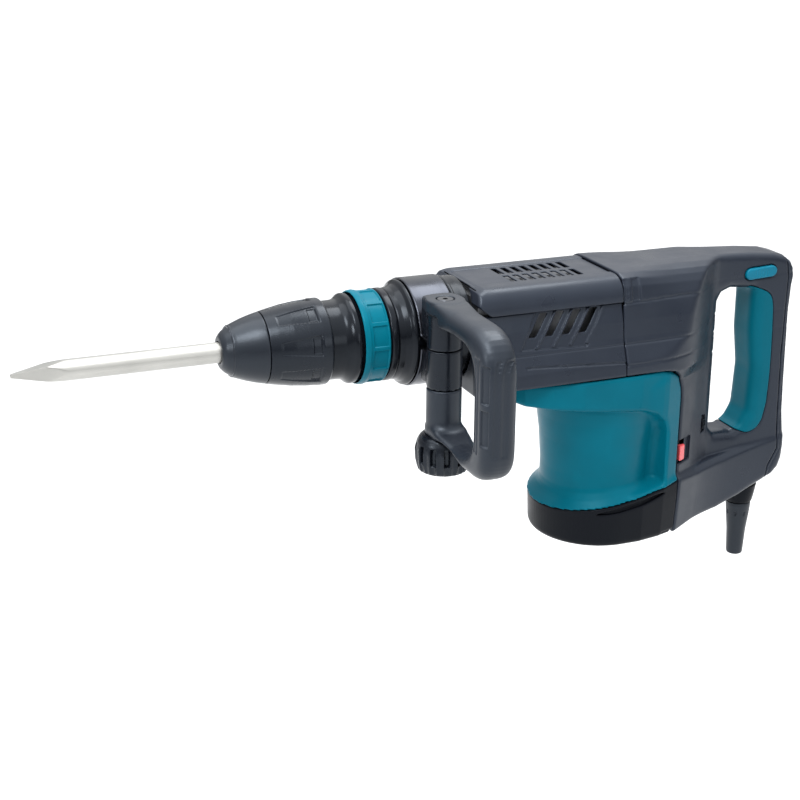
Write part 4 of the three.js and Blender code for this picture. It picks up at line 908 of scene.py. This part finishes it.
def make_rear():
    g = Grid((SEAM_X - 3, 580), (-69, 0), (BASE_Z - 3, 50), 1.0)
    side = g.along_y(HANDLE_SIDE)
    plan = g.along_z(mirrored_plan(curved([
        (355, -67), (404, -66), (430, -58), (446, -48), (462, -35), (474, -25.5),
        (486, -HAND_HALF), (600, -HAND_HALF),
    ])))
    skirt_z = ramp(g.X, *SKIRT_TOP)
    skirt = g.along_z(mirrored_plan(curved([
        (355, -66.5), (404, -65), (430, -57.4), (446, -49.5), (470, -37.5), (500, -28.5),
        (540, -23), (590, -19.8),
    ])))
    lower_plan = g.along_z(mirrored_plan(curved([
        (355, -66), (404, -63.6), (426, -54.2), (440, -46.5), (452, -39.5), (462, -33),
        (474, -25.5), (486, -HAND_HALF), (600, -HAND_HALF),
    ])))
    share = np.clip((-48 - g.Z) / 12, 0, 1)
    plan = plan * (1 - share) + lower_plan * share
    share = np.clip((g.X - SEAM_X) / 66, 0, 1)
    share = share * share * (3 - 2 * share)
    section = g.along_x(mirrored(HALF_SECTION)) * (1 - share)
    section = section + g.along_x(mirrored(HALF_SECTION_REAR)) * share
    body = smax(side, plan, ramp(g.X, [440, 490], [4, 8.5]))
    body = smax(body, section, 2.5)
    # below the crease the casing carries on as one wide tapering skirt under the handle
    inset = np.interp(g.Z, [-230, -214, -180, -165], [5, 3.5, 1, 0])
    inset = inset * np.clip((540 - g.X) / 80, 0.15, 1)
    low = smax(side, skirt + inset, ramp(g.X, [440, 520], [3.5, 8]))
    bevel = (g.Z - skirt_z) * 0.72 + (skirt + 1.0) * 0.7
    low = smax(smax(low, g.Z - skirt_z - 4.5, 2.0), bevel, 1.5)
    whole = smin(body, np.maximum(low, CASING_FRONT - g.X), 2.5)
    whole = smax(whole, -g.along_y(HAND_HOLE), 12)
    whole = smax(whole, SEAM_X + 0.2 - g.X, 0.5)

    # creases and grooves of the side
    near = np.clip((452 - g.X) / 20, 0, 1)
    for z, deep in ((20.0, 1.0), (-17.0, 0.7), (-35.0, 0.8)):
        line = np.abs(g.Z - z - (g.X - 400) * 0.012) - 0.9
        whole = carve(whole, line, whole, deep * near, 0.7)
    # the raised pad above the crease, with an upright bead at the front
    pad_gap = g.box((371.5, 379.5), (-90, -20), (21.5, 40))
    whole = carve(whole, pad_gap, whole, 1.3, 1.4)
    bead_gap = g.box((363, 366), (-90, -20), (21.5, 40))
    whole = carve(whole, bead_gap, whole, 0.9, 1.0)
    # small moulded steps on the edge of the hand hole
    for z in (-12, -30, -50):
        step = g.box((480, 489), (-60, 60), (z - 0.9, z + 0.9))
        whole = carve(whole, step, whole, 0.8, 0.6)

    grip_side = g.along_y(soften(GRIP_OUTLINE, 4, 3))
    core = np.maximum(537 - g.X, np.abs(g.Y) - (HAND_HALF - 2.6))
    grip_block = np.maximum(grip_side, -core)
    strip = g.along_y(STRIP)
    lever = g.along_y(lever_outline(0.5))
    gland = np.maximum(g.cylinder("z", (CORD_X, 0), 12.4), g.Z + 190)
    gland = np.minimum(gland, np.maximum(g.cylinder("z", (CORD_X, 0), 17.4), g.Z + 200))

    # room for what is inside
    inner_plan = [(355, -62), (398, -61), (424, -53), (440, -43), (456, -30), (466, -22)]
    walls = g.along_z(mirrored_plan(inner_plan + [(600, -15)]))
    rooms = g.box((350, 408), (-70, 70), (-60, 42))
    rooms = np.minimum(rooms, g.box((350, 466), (-48, 48), (-42, 42)))
    rooms = np.minimum(rooms, g.box((436, 468), (-70, 70), (-207, -40)))
    rooms = np.maximum(np.maximum(rooms, walls), np.maximum(section, side) + 3.2)

    x, y, z = DIAL_AT
    turn = math.radians(DIAL_TURN)
    across = (g.X - x) * -math.sin(turn) + (g.Y - y) * math.cos(turn)
    flat = (g.X - x) * math.cos(turn) + (g.Y - y) * math.sin(turn)
    dial_room = np.sqrt(flat**2 + (g.Z - z) ** 2) - DIAL_R - 0.8
    dial_room = np.maximum(dial_room, np.abs(across) - DIAL_HALF - 0.5)

    main = smax(whole, -(grip_block - 0.35), 0.8)
    main = smax(main, -(strip - 0.2), 1.0)
    main = smax(main, -lever, 0.7)
    main = smax(main, -gland, 0.7)
    main = np.maximum(main, -rooms)
    far_side = main
    main = smax(main, -dial_room, 0.6)
    lamp = g.box((426, 450), (-70, -30), (-147, -123.5))
    main = carve(main, lamp, whole, 2.7, 1.5)
    g.piece("rear_housing", main, LOOKS["casing"], 2, far_side)

    cover = smax(whole, strip + 0.3, 1.2)
    line = np.abs(strip + 3.2) - 0.55
    cover = carve(cover, line, whole, 0.9, 0.5)
    g.piece("handle_cover", cover, LOOKS["casing"], 2)

    g = Grid((512, 566), (-23, 0), (-146, 16), 0.7)
    side = g.along_y(HANDLE_SIDE)
    bow = smax(side, np.abs(g.Y) - HAND_HALF, 8.5)
    hole = g.along_y(soften(HAND_HOLE, 4, 3))
    grip = smax(bow, -hole, 12)
    core = np.maximum(537.4 - g.X, np.abs(g.Y) - (HAND_HALF - 2.4))
    block = smax(g.along_y(soften(GRIP_OUTLINE, 4, 3)), -core, 0.3)
    grip = smax(grip, block, 1.0)
    grip = smax(grip, -g.along_y(lever_outline(0.6)), 0.5)
    g.piece("grip_insert", grip, LOOKS["teal_grip"], 2)


def make_controls():
    outline = lever_outline(0)
    g = Grid((510, 550), (-24, 0), (15, 34), 0.45)
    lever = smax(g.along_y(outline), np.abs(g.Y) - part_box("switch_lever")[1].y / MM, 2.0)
    ribs = np.abs((g.X - 330) % 3.2 - 1.6) - 0.5
    ribs = np.maximum(np.maximum(ribs, np.abs(g.X - 531) - 8), np.abs(g.Z - 24.5) - 3)
    lever = carve(lever, ribs, lever, 0.35, 0.4)
    g.piece("switch_lever", lever, LOOKS["teal_switch"], 1)

    teeth, sides = 20, 240
    rim = [(-DIAL_HALF, 9.4), (-2.9, 10.6), (0, 10.9), (2.9, 10.6), (DIAL_HALF, 9.4)]
    profile = [(-DIAL_HALF, 0.0), *rim, (DIAL_HALF, 0.0)]

    def knurl(along, radius, angle):
        return np.where(radius > 9.6, 0.45 + 0.45 * np.cos(angle * teeth), 0)

    obj = lathe("speed_dial_skin", soften(profile, 0.5, 2), "z", (0, 0, 0), sides, knurl, 0.5)
    x, y, z = DIAL_AT
    stand = Matrix.Rotation(math.radians(DIAL_TURN), 4, "Z")
    stand = stand @ Matrix.Rotation(math.radians(-90), 4, "X")
    home = Vector(((x + NOSE) * MM, y * MM, (z + AXIS_Z) * MM))
    for v in obj.data.vertices:
        local = v.co - Vector((NOSE * MM, 0, AXIS_Z * MM))
        v.co = stand @ local + home
    obj.data.update()
    dress(obj, "speed_dial", LOOKS["dark_casing"])

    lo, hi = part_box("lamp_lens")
    g = Grid((429, 444), (-57, -38), (-150, -125), 0.4, even=False)
    x = (lo.x / MM - NOSE, hi.x / MM - NOSE)
    front = g.box((x[0] + 0.9, x[1] - 0.4), (-52.6, -45.5), (-200, 0))
    lens = smax(front, g.box((400, 500), WIDE, (-143.8, -128.6)), 1.2)
    lens = smax(lens, (-52.6 - g.Y + (g.X - x[0]) * 0.5) * 0.9, 1.0)
    g.piece("lamp_lens", lens, LOOKS["red_lens"], 1)


# ---- front casing ----
LOUVRES, LOUVRE_PITCH = 4, 16.6
TOP_SLOTS, TOP_SLOT_PITCH, TOP_SLOT_WIDTH = 8, 9.5, 5.2


def make_side_cover():
    g = Grid((212, SEAM_X + 1), (-68, 0), (-56, 23), 0.7)
    narrow = ramp(g.x, [214, 219, 228, 250, 364], [0.84, 0.93, 0.99, 1, 1])[:, None]
    half_z = [-60, -46, -37, -33, -17, -12, 4, 20.2]
    half_y = [66, 66, 65, 64.4, 58.5, 57, 55, 50.4]
    half_y = ramp(g.z, half_z, half_y)[None, :]
    width = (half_y * narrow)[:, None, :]
    outer = (np.abs(g.Y) - width) * 0.96
    chin = ramp(g.X, [214, 222, 250, 364], [-49.5, -51, -52.3, -52.3])
    bottom = np.where(g.X < 249.6, chin, -46.0)
    body = smax(outer, bottom - g.Z, 3.0)
    body = smax(body, g.Z - 20.2, 1.2)
    body = smax(body, 214.2 - g.X, 1.5)
    body = smax(body, g.X - SEAM_X + 0.2, 0.5)
    # a groove above the motor, a crease and the louvre panel
    line = np.abs(g.Z + 27 + (g.X - 262) * 0.06) - 0.9
    line = np.maximum(line, 262 - g.X)
    body = carve(body, line, outer, 1.0, 0.6)
    body = carve(body, np.abs(g.Z + 17) - 0.7, outer, 0.5, 0.6)
    panel = g.along_y([(275, 21.5), (259, -12), (324, -15), (342, 21.5)])
    body = carve(body, panel, outer, 1.5, 0.7)
    for i in range(LOUVRES):
        foot = 272.8 + i * LOUVRE_PITCH
        rib = g.along_y([(foot, -12), (foot + 2.4, -12), (foot + 22.6, 19), (foot + 20.2, 19)])
        rib = np.maximum(np.maximum(rib, outer), g.Z - 19)
        body = smin(body, np.maximum(rib, -(outer + 2.0)), 0.5)
    for i in range(LOUVRES):
        x = 281 + i * LOUVRE_PITCH
        slot = g.along_y([(x - 14.4, -2), (x - 7.4, -2), (x + 6.0, 18.5), (x - 1.0, 18.5)])
        body = smax(body, -np.maximum(slot, 45 - np.abs(g.Y)), 0.8)
    inner_k = ramp(g.x, [214, 219.5, 232, 364], [0.8, 0.86, 0.99, 1])[:, None]
    inside = np.abs(g.Y) - (half_y * inner_k - 3.1)[:, None, :]
    inside = np.maximum(inside, np.maximum(219.6 - g.X, -46.2 - g.Z))
    below = g.box((249.8, SEAM_X + 9), (-61.3, 61.3), (-70, -30))
    body = np.maximum(body, -np.minimum(inside, below))
    body = smax(body, -np.maximum(g.cylinder("x", (0, 0), 48.1), g.X - 221), 0.5)
    g.piece("side_cover", body, LOOKS["casing"], 2)


def shoulder(g, half, top, radius):
    """A flat top whose two sides fall away in a quarter round."""
    out = np.abs(g.Y) - half + radius
    up = g.Z - top + radius
    beyond = np.hypot(np.maximum(out, 0), np.maximum(up, 0))
    return beyond + np.minimum(np.maximum(out, up), 0) - radius


def make_top_cover():
    g = Grid((216, SEAM_X + 1), (-56, 0), (18, 47), 0.6)
    section = shoulder(g, 53.4, COVER_TOP, 21)
    front = [(219.4, LEDGE_Z - 8), (219.4, 31), (222, 40.5), (229, 44.4)]
    side = g.along_y(front + [(SEAM_X + 9, 44.5), (SEAM_X + 9, LEDGE_Z - 8)])
    body = smax(section, side, 3.5)
    body = smax(body, g.X - SEAM_X + 0.2, 0.5)
    body = smax(body, LEDGE_Z + 0.4 - g.Z, 1.0)
    corner = (g.X - 219) * -0.62 + (31 - g.Z) * 0.78
    body = smax(body, corner * 0.9 - 0.5, 1.0)
    panel = np.maximum(np.abs(g.Y) - 27.1, 226 - g.X)
    body = carve(body, panel, body, 0.8, 0.6)
    for i in range(TOP_SLOTS):
        x = 264.0 + i * TOP_SLOT_PITCH
        slot = g.box((x, x + TOP_SLOT_WIDTH), (-23.5, -3), (30, 60))
        body = smax(body, -slot, 0.9)
    inside = np.maximum(shoulder(g, 50, COVER_TOP - 3.4, 18), 223 - g.X)
    body = np.maximum(body, -inside)
    body = np.maximum(body, -np.maximum(g.cylinder("x", (0, 0), 46.5), g.X - 224))
    g.piece("top_cover", body, LOOKS["casing"], 2)


# ---- view, light and floor ----
CAMERA_AT = (-0.692054, -1.211656, 0.619768)
CAMERA_BACK = (-0.3522, -0.8733, 0.3368)  # from the object towards the camera
CAMERA_ROLL = math.radians(0.241)
FOCAL_MM, SENSOR_MM = 69.14, 36.0
LIGHTS_AIM = (-0.05, 0.0, 0.15)
FLOOR_Z, FLOOR_REACH = -0.3, 60.0


def make_camera():
    data = bpy.data.cameras.new("camera")
    camera = add_object("camera", data)
    back = Vector(CAMERA_BACK).normalized()
    level = Vector((-back.y, back.x, 0)).normalized()
    rise = back.cross(level)
    right = level * math.cos(CAMERA_ROLL) + rise * math.sin(CAMERA_ROLL)
    up = rise * math.cos(CAMERA_ROLL) - level * math.sin(CAMERA_ROLL)
    basis = Matrix((right, up, back)).transposed().to_4x4()
    camera.matrix_world = Matrix.Translation(CAMERA_AT) @ basis
    data.lens = FOCAL_MM
    data.sensor_width = SENSOR_MM
    data.clip_start = 0.05
    bpy.context.scene.camera = camera


def area_light(name, at, size, power):
    """A round light aimed at the middle of the object."""
    data = bpy.data.lights.new(name, "AREA")
    data.shape = "DISK"
    data.size = size
    data.energy = power
    light = add_object(name, data)
    light.location = at
    light.rotation_euler = (Vector(LIGHTS_AIM) - Vector(at)).to_track_quat("-Z", "Y").to_euler()


def sky_light(tree, background):
    """A soft sky: dim at the horizon, bright overhead."""
    where = tree.nodes.new("ShaderNodeTexCoord")
    axes = tree.nodes.new("ShaderNodeSeparateXYZ")
    tree.links.new(where.outputs["Generated"], axes.inputs[0])
    height = tree.nodes.new("ShaderNodeMapRange")
    tree.links.new(axes.outputs["Z"], height.inputs["Value"])
    height.inputs["From Min"].default_value = 0.0
    height.inputs["From Max"].default_value = 0.85
    height.inputs["To Min"].default_value = 0.10
    height.inputs["To Max"].default_value = 1.9
    tree.links.new(height.outputs["Result"], background.inputs["Strength"])
    background.inputs["Color"].default_value = (0.97, 0.985, 1.0, 1)


def make_stage():
    mesh = bpy.data.meshes.new("floor")
    turns = ((-1, -1), (1, -1), (1, 1), (-1, 1))
    corners = [(x * FLOOR_REACH, y * FLOOR_REACH, FLOOR_Z) for x, y in turns]
    mesh.from_pydata(corners, [], [(0, 1, 2, 3)])
    n = Nodes("floor")
    shade = n.spread(n.noise(3.0, 2.0), 0.0, 1.0)
    n.set(Base_Color=n.mix(shade, (0.60, 0.60, 0.60), (0.63, 0.63, 0.63)), Roughness=0.9)
    mesh.materials.append(n.material)
    floor = add_object("floor", mesh)
    world = bpy.data.worlds.new("studio")
    world.use_nodes = True
    background = world.node_tree.nodes["Background"]
    sky_light(world.node_tree, background)
    bpy.context.scene.world = world
    bpy.context.scene.view_settings.view_transform = "Standard"
    area_light("key", (-0.8, -0.7, 1.7), 0.8, 21)
    area_light("sheen", (0.4, -2.4, 0.8), 1.0, 5)
    area_light("rim", (-1.7, -0.5, 0.8), 0.4, 7)
    area_light("top", (0.3, 0.3, 1.5), 0.8, 11)
    area_light("back", (0.9, 2.2, 1.25), 2.2, 4)
    sun = bpy.data.lights.new("sun", "SUN")
    sun.energy = 1.3
    sun.angle = math.radians(50)
    holder = add_object("sun", sun)
    holder.rotation_euler = (math.radians(-12), math.radians(-18), 0)


for make in (
    make_chisel, make_nose_cap, make_release_cover, make_holder_sleeve, make_change_ring,
    make_barrel, make_clamp, make_clamp_bolt, make_side_handle, make_knob, make_motor_housing,
    make_base, make_side_cover, make_top_cover, make_rear, make_controls, make_cord_entry,
    make_camera, make_stage,
):
    make()
